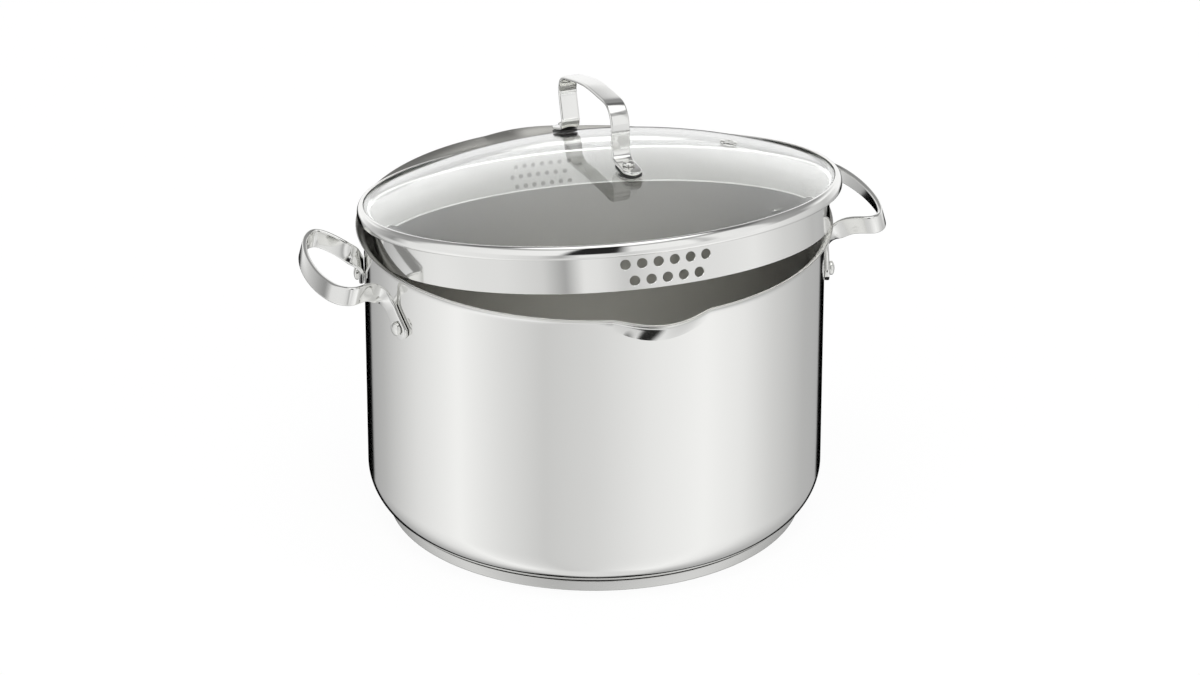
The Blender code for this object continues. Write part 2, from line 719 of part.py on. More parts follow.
def make_lid_handle(group, metal):
    """Lid handle with its rivets, seals and washers; returns the cutter for the rivet holes."""
    dark_seal = steel("dark_seal", (0.03, 0.03, 0.032), 0.5, 0.0)
    washer_metal = steel("washer_steel", (0.7, 0.7, 0.69), 0.25)
    centres, widths = knob_path()
    ups = [Vector((1.0, 0.0, 0.0))] * len(centres)
    handle = strap("lid_handle", centres, ups, widths, KNOB_SHEET, metal, group)

    bore = KNOB_RIVET_SHANK + 2 * RIVET_CLEARANCE
    seat = 3 * SEAT_GAP + KNOB_SEAL_SHEET + KNOB_SHEET
    under = -GLASS_SHEET - SEAT_GAP
    tail = under - KNOB_WASHER_SHEET - SEAT_GAP
    washer = [(bore / 2, under - KNOB_WASHER_SHEET), (KNOB_WASHER / 2, under - KNOB_WASHER_SHEET),
              (KNOB_WASHER / 2, under), (bore / 2, under)]
    feet = {"front": knob_foot(-1), "back": knob_foot(1)}
    drill = rods("lid_rivet_drill", feet.values(), bore, 8 * seat, group)
    cut(handle, drill)
    for word, foot in feet.items():
        head_seat = foot @ Matrix.Translation((0.0, 0.0, seat))
        rivet("lid_rivet_" + word, head_seat, KNOB_RIVET_HEAD, KNOB_RIVET_DOME, KNOB_RIVET_SHANK,
              seat - tail, KNOB_RIVET_TAIL, metal, group)
        turned("lid_washer_" + word, lambda angle: washer, even_angles(360 / HOLE_SIDES),
               washer_metal, group, placed(foot))
        seal_r = KNOB_WIDTH / 2 + KNOB_SEAL_MARGIN
        outer = KNOB_FOOT_TIP + KNOB_SEAL_MARGIN - seal_r
        inner = seal_r - KNOB_FOOT_TIP
        ends = arc((outer, 0.0), seal_r, -90, 90, SEAL_STEP)
        ends += arc((inner, 0.0), seal_r, 90, 270, SEAL_STEP)
        low = [Vector((x, y, SEAT_GAP)) for x, y in ends]
        high = [Vector((x, y, SEAT_GAP + KNOB_SEAL_SHEET)) for x, y in ends]
        count = len(ends)
        sides = [[i, (i + 1) % count, count + (i + 1) % count, count + i] for i in range(count)]
        faces = [list(range(count)), list(range(count, 2 * count)), *sides]
        seal = add_object("lid_seal_" + word, low + high, faces, dark_seal, group, placed(foot))
        cut(seal, drill)
    return drill


def clear_scene():
    """Starts from an empty scene."""
    for thing in list(bpy.data.objects):
        bpy.data.objects.remove(thing, do_unlink=True)


clear_scene()
body = make_pot()
handle_metal = steel("handle_steel", (0.82, 0.82, 0.81), 0.08)
make_side_handle("right", 0, body, handle_metal)
make_side_handle("left", 180, body, handle_metal)
lid_group = add_empty("lid_centre", placed(lid_pose()))
knob_group = add_empty("lid_handle_group", Matrix.Rotation(radians(KNOB_TURN), 4, "Z"), lid_group)
rivet_drill = make_lid_handle(knob_group, handle_metal)
make_glass(lid_group, rivet_drill)
make_skirt_and_band(lid_group)
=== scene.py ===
import json
from math import acos, ceil, cos, degrees, hypot, pi, radians, sin, sqrt

import bmesh
import bpy
from mathutils import Matrix, Vector


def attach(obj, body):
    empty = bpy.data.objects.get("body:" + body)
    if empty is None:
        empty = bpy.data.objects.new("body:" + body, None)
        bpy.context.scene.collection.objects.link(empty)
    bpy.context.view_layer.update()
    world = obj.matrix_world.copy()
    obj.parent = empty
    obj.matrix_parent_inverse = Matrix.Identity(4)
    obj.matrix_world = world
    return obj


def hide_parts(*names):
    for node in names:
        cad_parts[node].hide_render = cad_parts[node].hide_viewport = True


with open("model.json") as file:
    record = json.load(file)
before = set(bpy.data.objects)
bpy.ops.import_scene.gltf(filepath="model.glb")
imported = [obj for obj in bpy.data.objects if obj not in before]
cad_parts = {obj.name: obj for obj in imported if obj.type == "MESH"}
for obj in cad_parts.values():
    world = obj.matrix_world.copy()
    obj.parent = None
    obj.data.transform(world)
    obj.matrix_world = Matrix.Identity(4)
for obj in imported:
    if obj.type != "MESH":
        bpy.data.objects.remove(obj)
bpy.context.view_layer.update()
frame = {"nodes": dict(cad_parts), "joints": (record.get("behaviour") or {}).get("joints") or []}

# Pot shell
# One deep-drawn sheet of 18/10 stainless steel with a rolled lip and two spouts pressed into
# it. Outside it is mirror polished, and inside it keeps a satin finish turned on the lathe.
MM = 0.001
WALL_R = 121.0
WALL_SHEET = 0.8
RIM_TOP = 162.2
SHELL_FLOOR = 3.6
CORNER_ROUND = 21.5
LIP_ROUND = 5.4
LIP_TURN = 77.0
LIP_END_TURN = 73.3
SPOUT_WIDTH = 54.0
SPOUT_REACH = 7.0
SPOUT_DIP = 1.9
SPOUT_DEPTH = 15.0
SPOUT_SWELL = 1.5
SPOUT_CORNER_DROP = 1.0
CREASE_ROUND = 0.5
FLOOR_RING = 50.0
WALL_ROWS = 6
LIP_ROWS = 10
SPOUT_STEPS = 72
PLAIN_STEPS = 156
CRISP_EDGE = 32
SHELL_CRISP_EDGE = 6
WELD_GAP = 1e-7
NO_LENGTH = 1e-6

lip_start = RIM_TOP - (LIP_ROUND + WALL_SHEET) * sin(radians(LIP_TURN))
rim_r = WALL_R + LIP_ROUND * (1 - cos(radians(LIP_TURN)))
spout_half = degrees(SPOUT_WIDTH / 2 / rim_r)
shell_corner = (WALL_R - CORNER_ROUND, SHELL_FLOOR + CORNER_ROUND)


def arc(centre, radius, start, end, step):
    """Points of an arc in a profile plane, from one angle in degrees to another."""
    steps = max(1, ceil(abs(end - start) / step))
    angles = [radians(start + (end - start) * i / steps) for i in range(steps + 1)]
    return [(centre[0] + radius * cos(a), centre[1] + radius * sin(a)) for a in angles]


def offset(points, distance):
    """Moves an open outline sideways, to the left of the way it runs."""
    moved = []
    for i, point in enumerate(points):
        before = points[max(i - 1, 0)]
        after = points[min(i + 1, len(points) - 1)]
        sides = []
        for start, end in ((before, point), (point, after)):
            length = hypot(end[0] - start[0], end[1] - start[1])
            if length > NO_LENGTH:
                sides.append(((start[1] - end[1]) / length, (end[0] - start[0]) / length))
        across = (sides[0][0] + sides[-1][0], sides[0][1] + sides[-1][1])
        scale = 2 * distance / (across[0] ** 2 + across[1] ** 2)
        moved.append((point[0] + across[0] * scale, point[1] + across[1] * scale))
    return moved


def round_end(first, last):
    """Points of a half round edge that closes a sheet from one face to the other."""
    middle = ((first[0] + last[0]) / 2, (first[1] + last[1]) / 2)
    half = ((first[0] - last[0]) / 2, (first[1] - last[1]) / 2)
    out = (-half[1], half[0])
    edge_step = 15
    return [(middle[0] + half[0] * cos(radians(a)) + out[0] * sin(radians(a)),
             middle[1] + half[1] * cos(radians(a)) + out[1] * sin(radians(a)))
            for a in range(edge_step, 180, edge_step)]


def rolled_sheet(outline, sheet):
    """Closes an open outline into a sheet on its left, and says where its second face starts."""
    inner = offset(outline, sheet)
    end = round_end(outline[-1], inner[-1])
    return outline + end + inner[::-1], len(outline) + len(end) // 2


def in_scene(name, data):
    """New object in the scene, at the origin."""
    thing = bpy.data.objects.new(name, data)
    bpy.context.scene.collection.objects.link(thing)
    return thing


def to_mesh(name, points, faces, place=None, crisp=CRISP_EDGE):
    """Object with welded, outward faces, shaded smooth but for edges of over crisp degrees."""
    mesh = bpy.data.meshes.new(name)
    place = place or Matrix.Identity(4)
    mesh.from_pydata([(place @ Vector(point)) * MM for point in points], [], faces)
    work = bmesh.new()
    work.from_mesh(mesh)
    bmesh.ops.remove_doubles(work, verts=work.verts, dist=WELD_GAP)
    bmesh.ops.recalc_face_normals(work, faces=work.faces)
    work.to_mesh(mesh)
    work.free()
    mesh.shade_smooth()
    mesh.set_sharp_from_angle(angle=radians(crisp))
    return in_scene(name, mesh)


def turned(name, profile_at, angles, place=None, second_from=None, crisp=CRISP_EDGE):
    """Ring or bowl turned about Z; rows from second_from on take the second material."""
    points = []
    faces = []
    seconds = []
    rows = len(profile_at(angles[0]))
    bowl = profile_at(angles[0])[0][0] < NO_LENGTH
    for angle in angles:
        a = radians(angle)
        points += [(radius * cos(a), radius * sin(a), height)
                   for radius, height in profile_at(angle)]
    for i in range(len(angles)):
        j = (i + 1) % len(angles)
        for k in range(rows - 1 if bowl else rows):
            after = (k + 1) % rows
            corners = [i * rows + k, i * rows + after, j * rows + after, j * rows + k]
            seen = {}
            for corner in corners:
                seen.setdefault(tuple(round(value, 6) for value in points[corner]), corner)
            if len(seen) > 2:
                faces.append(list(seen.values()))
                seconds.append(1 if second_from and k >= second_from else 0)
    thing = to_mesh(name, points, faces, place, crisp)
    if second_from:
        thing.data.polygons.foreach_set("material_index", seconds)
    return thing


def shell_profile(angle):
    """The shell's outer side and, back down again, its inner side at one angle."""
    from_spout = abs((angle % 180) - 90) / spout_half
    share = min(from_spout, 1.0)
    weight = (1 - share**2) ** SPOUT_SWELL
    foot = RIM_TOP - SPOUT_DEPTH
    crease = foot + (lip_start - SPOUT_CORNER_DROP - foot) * share**2
    wall_foot = shell_corner[1]
    above = crease + CREASE_ROUND
    outline = [(0.0, SHELL_FLOOR), (FLOOR_RING, SHELL_FLOOR)]
    outline += arc(shell_corner, CORNER_ROUND, -90, 0, 3)
    outline += [(WALL_R, wall_foot + (crease - CREASE_ROUND - wall_foot) * row / WALL_ROWS)
                for row in range(1, WALL_ROWS + 1)]
    outline += [(WALL_R, crease)]
    outline += [(WALL_R, above + (lip_start - crease - CREASE_ROUND) * row / LIP_ROWS)
                for row in range(LIP_ROWS)]
    outline += arc((WALL_R + LIP_ROUND, lip_start), LIP_ROUND, 180, 180 - LIP_END_TURN, 5)
    pressed = []
    for radius, height in outline:
        ramp = max(0.0, (height - crease) / (RIM_TOP - crease)) * weight
        pressed.append((radius + SPOUT_REACH * ramp, height - SPOUT_DIP * ramp))
    return rolled_sheet(pressed, WALL_SHEET)


plain = 180 - 2 * spout_half
shell_angles = []
for spout in (90, 270):
    shell_angles += [spout - spout_half + 2 * spout_half * i / SPOUT_STEPS
                     for i in range(SPOUT_STEPS)]
    shell_angles += [spout + spout_half + plain * i / PLAIN_STEPS for i in range(PLAIN_STEPS)]
shell = turned("pot_shell", lambda angle: shell_profile(angle)[0], shell_angles,
               second_from=shell_profile(0)[1], crisp=SHELL_CRISP_EDGE)


def colour(code):
    """Linear colour from an sRGB hex value."""
    levels = [int(code[i:i + 2], 16) / 255 for i in (1, 3, 5)]
    return (*[v / 12.92 if v <= 0.04045 else ((v + 0.055) / 1.055) ** 2.4 for v in levels], 1.0)


def add_node(tree, kind, settings=None, **inputs):
    """Adds one node with its settings; an input takes a value or another node's socket."""
    node = tree.nodes.new(kind)
    for name, value in (settings or {}).items():
        setattr(node, name, value)
    for name, value in inputs.items():
        key = int(name[1:]) if name[0] == "_" else name.replace("_", " ")
        if isinstance(value, bpy.types.NodeSocket):
            tree.links.new(value, node.inputs[key])
        else:
            node.inputs[key].default_value = value
    return node


def finish_material(name, base, metallic, roughness, **more):
    """Material with its own shader, whose tree the caller goes on to build."""
    material = bpy.data.materials.new(name)
    material.use_nodes = True
    tree = material.node_tree
    shader = tree.nodes["Principled BSDF"]
    shader.inputs["Base Color"].default_value = colour(base)
    shader.inputs["Metallic"].default_value = metallic
    shader.inputs["Roughness"].default_value = roughness
    for socket, value in more.items():
        shader.inputs[socket.replace("_", " ")].default_value = value
    material.diffuse_color = colour(base)
    return material, tree, shader


def add_grain(tree, shader, stretch, grain_mm, low, high, depth_mm):
    """Grain of a worked surface: its roughness varies, and its height by depth_mm."""
    place = add_node(tree, "ShaderNodeTexCoord")
    scaled = add_node(tree, "ShaderNodeMapping", Vector=place.outputs["Object"], Scale=stretch)
    grain = add_node(tree, "ShaderNodeTexNoise", Vector=scaled.outputs["Vector"],
                     Scale=1 / (grain_mm * MM), Detail=3.0, Roughness=0.6)
    rough = add_node(tree, "ShaderNodeMapRange", Value=grain.outputs["Fac"], To_Min=low,
                     To_Max=high)
    tree.links.new(rough.outputs["Result"], shader.inputs["Roughness"])
    bump = add_node(tree, "ShaderNodeBump", Height=grain.outputs["Fac"], Strength=1.0,
                    Distance=depth_mm * MM)
    tree.links.new(bump.outputs["Normal"], shader.inputs["Normal"])
    return bump


# Mirror polish on a drawn wall keeps faint upright streaks from the belt, 1.5 mm apart.
mirror_steel, tree, shader = finish_material("mirror_polished_stainless", "#EDEDEB", 1.0, 0.09)
add_grain(tree, shader, (1.0, 1.0, 0.02), 1.5, 0.07, 0.11, 0.0006)
# The inside is turned with an abrasive pad, whose marks run round it about 0.8 mm apart.
# Its base is darker than the polished outside's. This is painted shade for the pot's inside under
# the lid.
satin_steel, tree, shader = finish_material("satin_turned_stainless", "#BEBDB9", 1.0, 0.38,
                                            Anisotropic=0.7, Anisotropic_Rotation=0.25)
add_grain(tree, shader, (0.05, 0.05, 1.0), 0.8, 0.34, 0.42, 0.002)
lay = add_node(tree, "ShaderNodeTangent", {"direction_type": "RADIAL", "axis": "Z"})
tree.links.new(lay.outputs["Tangent"], shader.inputs["Tangent"])
shell.data.materials.append(mirror_steel)
shell.data.materials.append(satin_steel)
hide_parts("pot_body")
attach(shell, "pot")

# Base disc
# An aluminium plate pressed under the pot to spread the heat, closed in by a stainless cap
# that stands off the shell's corner by a fine dark line. Its face is turned satin.
CAP_R = 110.4
CAP_SHEET = 0.6
CAP_EDGE_ROUND = 1.2
CAP_FLOOR_RING = 60.0
CAP_WALL_START = 3.0
SEAT_GAP = 0.3
full_turn = range(0, 360, 2)

cap_top = shell_corner[1] - sqrt((CORNER_ROUND + SEAT_GAP) ** 2
                                 - (CAP_R - CAP_SHEET - shell_corner[0]) ** 2)
cap_outline = [(0.0, 0.0), (CAP_FLOOR_RING, 0.0)]
cap_outline += arc((CAP_R - CAP_EDGE_ROUND, CAP_EDGE_ROUND), CAP_EDGE_ROUND, -90, 0, 15)
cap_outline += [(CAP_R, CAP_WALL_START), (CAP_R, cap_top - CAP_SHEET / 2)]
cap_profile = rolled_sheet(cap_outline, CAP_SHEET)[0]
cap = turned("base_disc", lambda angle: cap_profile, full_turn)
# Fine turned rings give the cap a soft sheen with no clear reflection.
cap_steel, tree, shader = finish_material("satin_cap_stainless", "#D3D3D1", 1.0, 0.26)
add_grain(tree, shader, (0.05, 0.05, 1.0), 0.5, 0.22, 0.30, 0.001)
cap.data.materials.append(cap_steel)
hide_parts("base_cap")
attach(cap, "pot")

# Rolled aluminium is duller than the steel round it, with long fine lines.
core_metal, tree, shader = finish_material("rolled_aluminium", "#B9B9BA", 1.0, 0.45)
add_grain(tree, shader, (1.0, 0.03, 1.0), 0.4, 0.40, 0.50, 0.002)
core = frame["nodes"]["base_core"]
core.data.materials.clear()
core.data.materials.append(core_metal)

# Side handles
# Each is one steel strap with eased edges, bent so that it stands on edge where the hand
# goes and twists flat against the wall at its two feet. It is tumbled to a soft mirror.
HANDLE_TURN = 1.8
STRAP_WIDTH = 10.0
STRAP_SHEET = 2.5
STRAP_EASE = 0.95
EASE_LIMIT = 0.95
STRAP_LEAN = 15.4
GRIP_REACH = 33.7
GRIP_DROP = 8.4
SHOULDER_REACH = 21.0
SHOULDER_HALF_SPAN = 39.1
SHOULDER_DROP = 7.0
NECK_REACH = 9.1
NECK_HALF_SPAN = 28.3
NECK_DROP = 10.5
BEND_HALF_SPAN = 26.7
BEND_DROP = 19.9
FOOT_LENGTH = 19.6
FOOT_SLOPE = 46.0
FOOT_CORNER = 2.6
PATH_STEP = 1.0
BEND_ROUNDS = 30
TIP_CLEARANCE = 0.2
foot_end_widths = ((0.0, 5.4), (0.35, 6.6), (0.9, 7.6), (1.6, 8.8),
                   (FOOT_CORNER, STRAP_WIDTH))


def section(width, sheet, ease):
    """Strap cross-section with flat faces and rounded edges."""
    x = sheet / 2
    y = width / 2
    ease = min(ease, x * EASE_LIMIT, y * EASE_LIMIT)
    corner = arc((x - ease, y - ease), ease, 0, 90, 15)
    side = [(x, 0.0)] + corner
    half = side + [(-a, b) for a, b in corner[::-1]]
    return half + [(-a, -b) for a, b in half]


def strap(name, centres, ups, widths, sheet, place, ease=STRAP_EASE):
    """Strap swept along a path, closed at both ends."""
    points = []
    for i, centre in enumerate(centres):
        tangent = (centres[min(i + 1, len(centres) - 1)] - centres[max(i - 1, 0)]).normalized()
        across = (ups[i] - ups[i].dot(tangent) * tangent).normalized()
        normal = tangent.cross(across)
        ring = section(widths[i], sheet, ease)
        points += [centre + normal * x + across * y for x, y in ring]
    sides = len(ring)
    faces = [list(range(sides)), list(range(len(points) - sides, len(points)))]
    for i in range(len(centres) - 1):
        for j in range(sides):
            k = (j + 1) % sides
            faces.append([i * sides + j, i * sides + k, (i + 1) * sides + k, (i + 1) * sides + j])
    return to_mesh(name, points, faces, place)


def smooth_path(knots, spacing):
    """Points about one spacing apart on a smooth curve through every knot."""
    ends = [knots[0] * 2 - knots[1], *knots, knots[-1] * 2 - knots[-2]]
    path = []
    for a, b, c, d in zip(ends, ends[1:], ends[2:], ends[3:]):
        times = [0.0]
        for start, end in ((a, b), (b, c), (c, d)):
            times.append(times[-1] + sqrt((end - start).length))
        leave = ((b - a) / times[1] - (c - a) / times[2] + (c - b) / (times[2] - times[1]))
        arrive = ((c - b) / (times[2] - times[1]) - (d - b) / (times[3] - times[1])
                  + (d - c) / (times[3] - times[2]))
        span = times[2] - times[1]
        steps = max(1, round((c - b).length / spacing))
        for i in range(steps):
            t = i / steps
            path.append((2 * t**3 - 3 * t**2 + 1) * b + (t**3 - 2 * t**2 + t) * span * leave
                        + (3 * t**2 - 2 * t**3) * c + (t**3 - t**2) * span * arrive)
    path.append(knots[-1])
    return path


def relaxed(values, rounds):
    """Evens out a row of points or directions, and leaves its two ends."""
    for _ in range(rounds):
        inner = [(a + b * 2 + c) / 4 for a, b, c in zip(values, values[1:], values[2:])]
        values = [values[0], *inner, values[-1]]
    return values


def on_wall(along, height, radius):
    """Point at an arc length from the +X side of the wall."""
    a = along / radius
    return Vector((radius * cos(a), radius * sin(a), height))


def eased_ends(path, table):
    """Puts extra points at both ends of a path, and gives the strap's width at each point."""
    runs = [[end + (inner - end).normalized() * along for along, width in table]
            for end, inner in ((path[0], path[1]), (path[-1], path[-2]))]
    clear_of_end = table[-1][0] + TIP_CLEARANCE
    middle = [point for point in path
              if min((point - path[0]).length, (point - path[-1]).length) > clear_of_end]
    widths = [width for along, width in table]
    return (runs[0] + middle + runs[1][::-1],
            widths + [widths[-1]] * len(middle) + widths[::-1])


foot_r = WALL_R + SEAT_GAP + STRAP_SHEET / 2
slope = radians(FOOT_SLOPE)
knots = []
for share in (1.0, 0.5, 0.0):
    knots.append(on_wall(BEND_HALF_SPAN + FOOT_LENGTH * share * cos(slope),
                         RIM_TOP - BEND_DROP - FOOT_LENGTH * share * sin(slope), foot_r))
knots.append(Vector((WALL_R + NECK_REACH, NECK_HALF_SPAN, RIM_TOP - NECK_DROP)))
for turn in (0, 30, 60):
    a = radians(turn)
    knots.append(Vector((WALL_R + SHOULDER_REACH + (GRIP_REACH - SHOULDER_REACH) * sin(a),
                         SHOULDER_HALF_SPAN * cos(a),
                         RIM_TOP - SHOULDER_DROP - (GRIP_DROP - SHOULDER_DROP) * sin(a))))
mirrored = [Vector((knot.x, -knot.y, knot.z)) for knot in knots[::-1]]
knots.append(Vector((WALL_R + GRIP_REACH, 0.0, RIM_TOP - GRIP_DROP)))
loop = relaxed(smooth_path([*knots, *mirrored], PATH_STEP), BEND_ROUNDS)
handle_path, handle_widths = eased_ends(loop, foot_end_widths)
for point in handle_path:
    radius = hypot(point.x, point.y)
    if radius < foot_r:
        point.xy *= foot_r / radius
upright = Vector((-sin(radians(STRAP_LEAN)), 0.0, cos(radians(STRAP_LEAN))))
handle_ups = []
for before, point, after in zip([handle_path[0], *handle_path], handle_path,
                                [*handle_path[1:], handle_path[-1]]):
    outward = Vector((point.x, point.y, 0.0)).normalized()
    along_wall = (after - before).cross(outward).normalized()
    along_wall *= -1 if along_wall.z < 0 else 1
    share = min(1.0, (hypot(point.x, point.y) - foot_r) / NECK_REACH)
    handle_ups.append(along_wall.lerp(upright, share))
handle_ups = relaxed(handle_ups, BEND_ROUNDS)

# Tumbled steel is bright but not flat: its face waves a hundredth or so over about 9 mm.
soft_mirror, tree, shader = finish_material("tumbled_stainless", "#EFEFED", 1.0, 0.1)
grain = add_grain(tree, shader, (1.0, 1.0, 1.0), 0.6, 0.08, 0.13, 0.0008)
waves = add_node(tree, "ShaderNodeTexNoise", Scale=1 / (9 * MM), Detail=1.0)
wavy = add_node(tree, "ShaderNodeBump", Height=waves.outputs["Fac"], Strength=1.0,
                Distance=0.015 * MM)
tree.links.new(add_node(tree, "ShaderNodeTexCoord").outputs["Object"], waves.inputs["Vector"])
tree.links.new(wavy.outputs["Normal"], grain.inputs["Normal"])
for side, heading in (("right", 0), ("left", 180)):
    handle = strap(side + "_strap", handle_path, handle_ups, handle_widths, STRAP_SHEET,
                   Matrix.Rotation(radians(heading + HANDLE_TURN), 4, "Z"))
    handle.data.materials.append(soft_mirror)
    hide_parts(side + "_handle")
    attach(handle, "pot")

# Handle rivets
# Four solid steel rivets with low domed heads clench the feet to the wall, and their tails
# are set flat inside. They are turned bright and left as they come from the rivet set.
RIVET_INSET = 6.0
RIVET_HEAD = 7.4
RIVET_DOME = 2.5
RIVET_SHANK = 4.0
RIVET_TAIL = 8.5
RIVET_EDGE_SHARE = 0.45
RIVET_HEAD_EASE = 0.12
RIVET_TAIL_EASE = 0.1
RIVET_TAIL_ROUND = 0.4
RIVET_SIDES = 32


def rivet_blank(name, head, dome, shank, grip, tail):
    """One rivet on the Z axis with its head up, turned from its crown down to its tail."""
    edge = dome * RIVET_EDGE_SHARE
    tail_end = grip + dome / 2
    profile = [(head / 2 * sin(radians(a)), edge + (dome - edge) * cos(radians(a)))
               for a in range(0, 91, 10)]
    profile += [(head / 2, RIVET_HEAD_EASE), (head / 2 - RIVET_HEAD_EASE, 0.0),
                (shank / 2, 0.0), (shank / 2, -grip), (tail / 2, -grip),
                (tail / 2, -grip - RIVET_TAIL_EASE)]
    profile += arc((tail / 2 - RIVET_TAIL_ROUND, RIVET_TAIL_ROUND - tail_end),
                   RIVET_TAIL_ROUND, 0, -90, 30)
    profile.append((0.0, -tail_end))
    return turned(name, lambda angle: profile,
                  [360 * side / RIVET_SIDES for side in range(RIVET_SIDES)])


def tree_with(name, sockets):
    """Empty geometry tree with named inputs besides its mesh."""
    tree = bpy.data.node_groups.new(name, "GeometryNodeTree")
    tree.interface.new_socket("Mesh", in_out="INPUT", socket_type="NodeSocketGeometry")
    for socket, kind in sockets.items():
        tree.interface.new_socket(socket, in_out="INPUT", socket_type="NodeSocket" + kind)
    tree.interface.new_socket("Mesh", in_out="OUTPUT", socket_type="NodeSocketGeometry")
    return tree, tree.nodes.new("NodeGroupInput"), tree.nodes.new("NodeGroupOutput")


def keep_plain(thing, trees=()):
    """Adds geometry trees to a piece in turn, and keeps the plain mesh its modifiers make."""
    for tree, values in trees:
        modifier = thing.modifiers.new(tree.name, "NODES")
        modifier.node_group = tree
        for item in tree.interface.items_tree:
            if item.in_out == "INPUT" and item.name in values:
                modifier[item.identifier] = values[item.name]
    bpy.context.view_layer.update()
    evaluated = thing.evaluated_get(bpy.context.evaluated_depsgraph_get())
    made = bpy.data.meshes.new_from_object(evaluated)
    thing.modifiers.clear()
    thing.data = made
    made.shade_smooth()
    made.set_sharp_from_angle(angle=radians(CRISP_EDGE))


# Sets one copy of a fastener on every point, with its head along that point's axis.
fasten, given, result = tree_with("set_fasteners", {"Fastener": "Object", "Finish": "Material"})
blank = add_node(fasten, "GeometryNodeObjectInfo", Object=given.outputs["Fastener"])
axis = add_node(fasten, "GeometryNodeInputNamedAttribute", {"data_type": "FLOAT_VECTOR"},
                Name="axis")
facing = add_node(fasten, "FunctionNodeAlignRotationToVector", {"axis": "Z"},
                  Vector=axis.outputs["Attribute"])
copies = add_node(fasten, "GeometryNodeInstanceOnPoints", Points=given.outputs["Mesh"],
                  Instance=blank.outputs["Geometry"], Rotation=facing.outputs["Rotation"])
real = add_node(fasten, "GeometryNodeRealizeInstances", Geometry=copies.outputs["Instances"])
dressed = add_node(fasten, "GeometryNodeSetMaterial", Geometry=real.outputs["Geometry"],
                   Material=given.outputs["Finish"])
fasten.links.new(dressed.outputs["Geometry"], result.inputs["Mesh"])


def set_fasteners(name, blank_object, frames, finish):
    """One mesh with a fastener on every frame."""
    mesh = bpy.data.meshes.new(name)
    mesh.from_pydata([spot.translation * MM for spot in frames], [], [])
    axes = mesh.attributes.new("axis", "FLOAT_VECTOR", "POINT")
    for i, spot in enumerate(frames):
        axes.data[i].vector = spot.col[2].to_3d()
    thing = in_scene(name, mesh)
    keep_plain(thing, [(fasten, {"Fastener": blank_object, "Finish": finish})])
    thing.data.materials.clear()
    thing.data.materials.append(finish)
    bpy.data.objects.remove(blank_object)
    return thing


def frame_along(origin, direction, up=(0.0, 0.0, 1.0)):
    """Frame whose Z axis points along a direction."""
    z = Vector(direction).normalized()
    x = Vector(up).cross(z).normalized()
    return Matrix.Translation(Vector(origin)) @ Matrix((x, z.cross(x), z)).transposed().to_4x4()


seat_r = WALL_R + 2 * SEAT_GAP + STRAP_SHEET
rivet_along = FOOT_LENGTH - RIVET_INSET
rivet_angle = (BEND_HALF_SPAN + rivet_along * cos(slope)) / foot_r
rivet_frames = []
for heading in (0, 180):
    for sign in (-1, 1):
        a = radians(heading + HANDLE_TURN) + rivet_angle * sign
        outward = Vector((cos(a), sin(a), 0.0))
        height = Vector((0.0, 0.0, RIM_TOP - BEND_DROP - rivet_along * sin(slope)))
        rivet_frames.append(frame_along(outward * seat_r + height, outward))
side_rivet = rivet_blank("side_rivet_blank", RIVET_HEAD, RIVET_DOME, RIVET_SHANK,
                         seat_r - (WALL_R - WALL_SHEET) + SEAT_GAP, RIVET_TAIL)
# Rivet wire set cold keeps a fine all-over texture under its shine.
rivet_steel, tree, shader = finish_material("set_rivet_stainless", "#EBEBE8", 1.0, 0.14)
add_grain(tree, shader, (1.0, 1.0, 1.0), 0.5, 0.11, 0.18, 0.002)
rivets = set_fasteners("side_rivets", side_rivet, rivet_frames, rivet_steel)
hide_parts("left_rivet_front", "left_rivet_back", "right_rivet_front",
            "right_rivet_back")
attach(rivets, "pot")

# Strainer skirt
# A deep collar of polished sheet under the lid, which fits inside the pot's mouth. Two
# groups of punched holes in it let water out over the spouts, large in front, small behind.
SKIRT_R = 119.4
SKIRT_SHEET = 0.6
EDGE_BEAD = 0.8
BEAD_EASE = 0.1
BEAD_FLAT = 0.3
BEAD_LEAN = 0.5
BEAD_LIFT = 0.15
SKIRT_DEPTH = 25.9
SKIRT_BEND = 1.0
BAND_OVERHANG = 1.56
BAND_R = rim_r + BAND_OVERHANG
BAND_SHEET = 0.7
GLASS_PLAY = 0.6
GLASS_R = BAND_R - BAND_SHEET - GLASS_PLAY
GLASS_TOP = -BAND_SHEET - SEAT_GAP
GLASS_SHEET = 3.0
GASKET_SHEET = 0.7
FLANGE_TOP = GLASS_TOP - GLASS_SHEET - GASKET_SHEET - 2 * SEAT_GAP
FLANGE_INSET = 0.7
FLANGE_R = GLASS_R - FLANGE_INSET
LARGE_HOLE = 5.4
LARGE_PITCH = 8.48
SMALL_HOLE = 2.5
SMALL_PITCH = 5.0
HOLE_SIDES = 28
PUNCH_LENGTH = 6.0
SKIRT_ROWS = 6
BRUSHED_FACING = 0.5
BRUSHED_DEPTH = 0.7
PICKLED_FACING = 0.3
PICKLED_SHARE = 0.2


def in_metres(place):
    """The same frame with its origin in metres, for a mesh that is already made."""
    return Matrix.Translation(place.translation * MM) @ place.to_3x3().to_4x4()


lid_joint = [joint for joint in frame["joints"] if joint["name"] == "lid_turn"][0]
lid_axis = Vector(lid_joint["axis"]).normalized()
uphill = Vector((-lid_axis.x, -lid_axis.y, 0.0)).normalized()
lid_place = (Matrix.Translation(Vector(lid_joint["pos_m"]) / MM)
             @ Matrix.Rotation(acos(lid_axis.z), 4, uphill.cross(Vector((0.0, 0.0, 1.0)))))

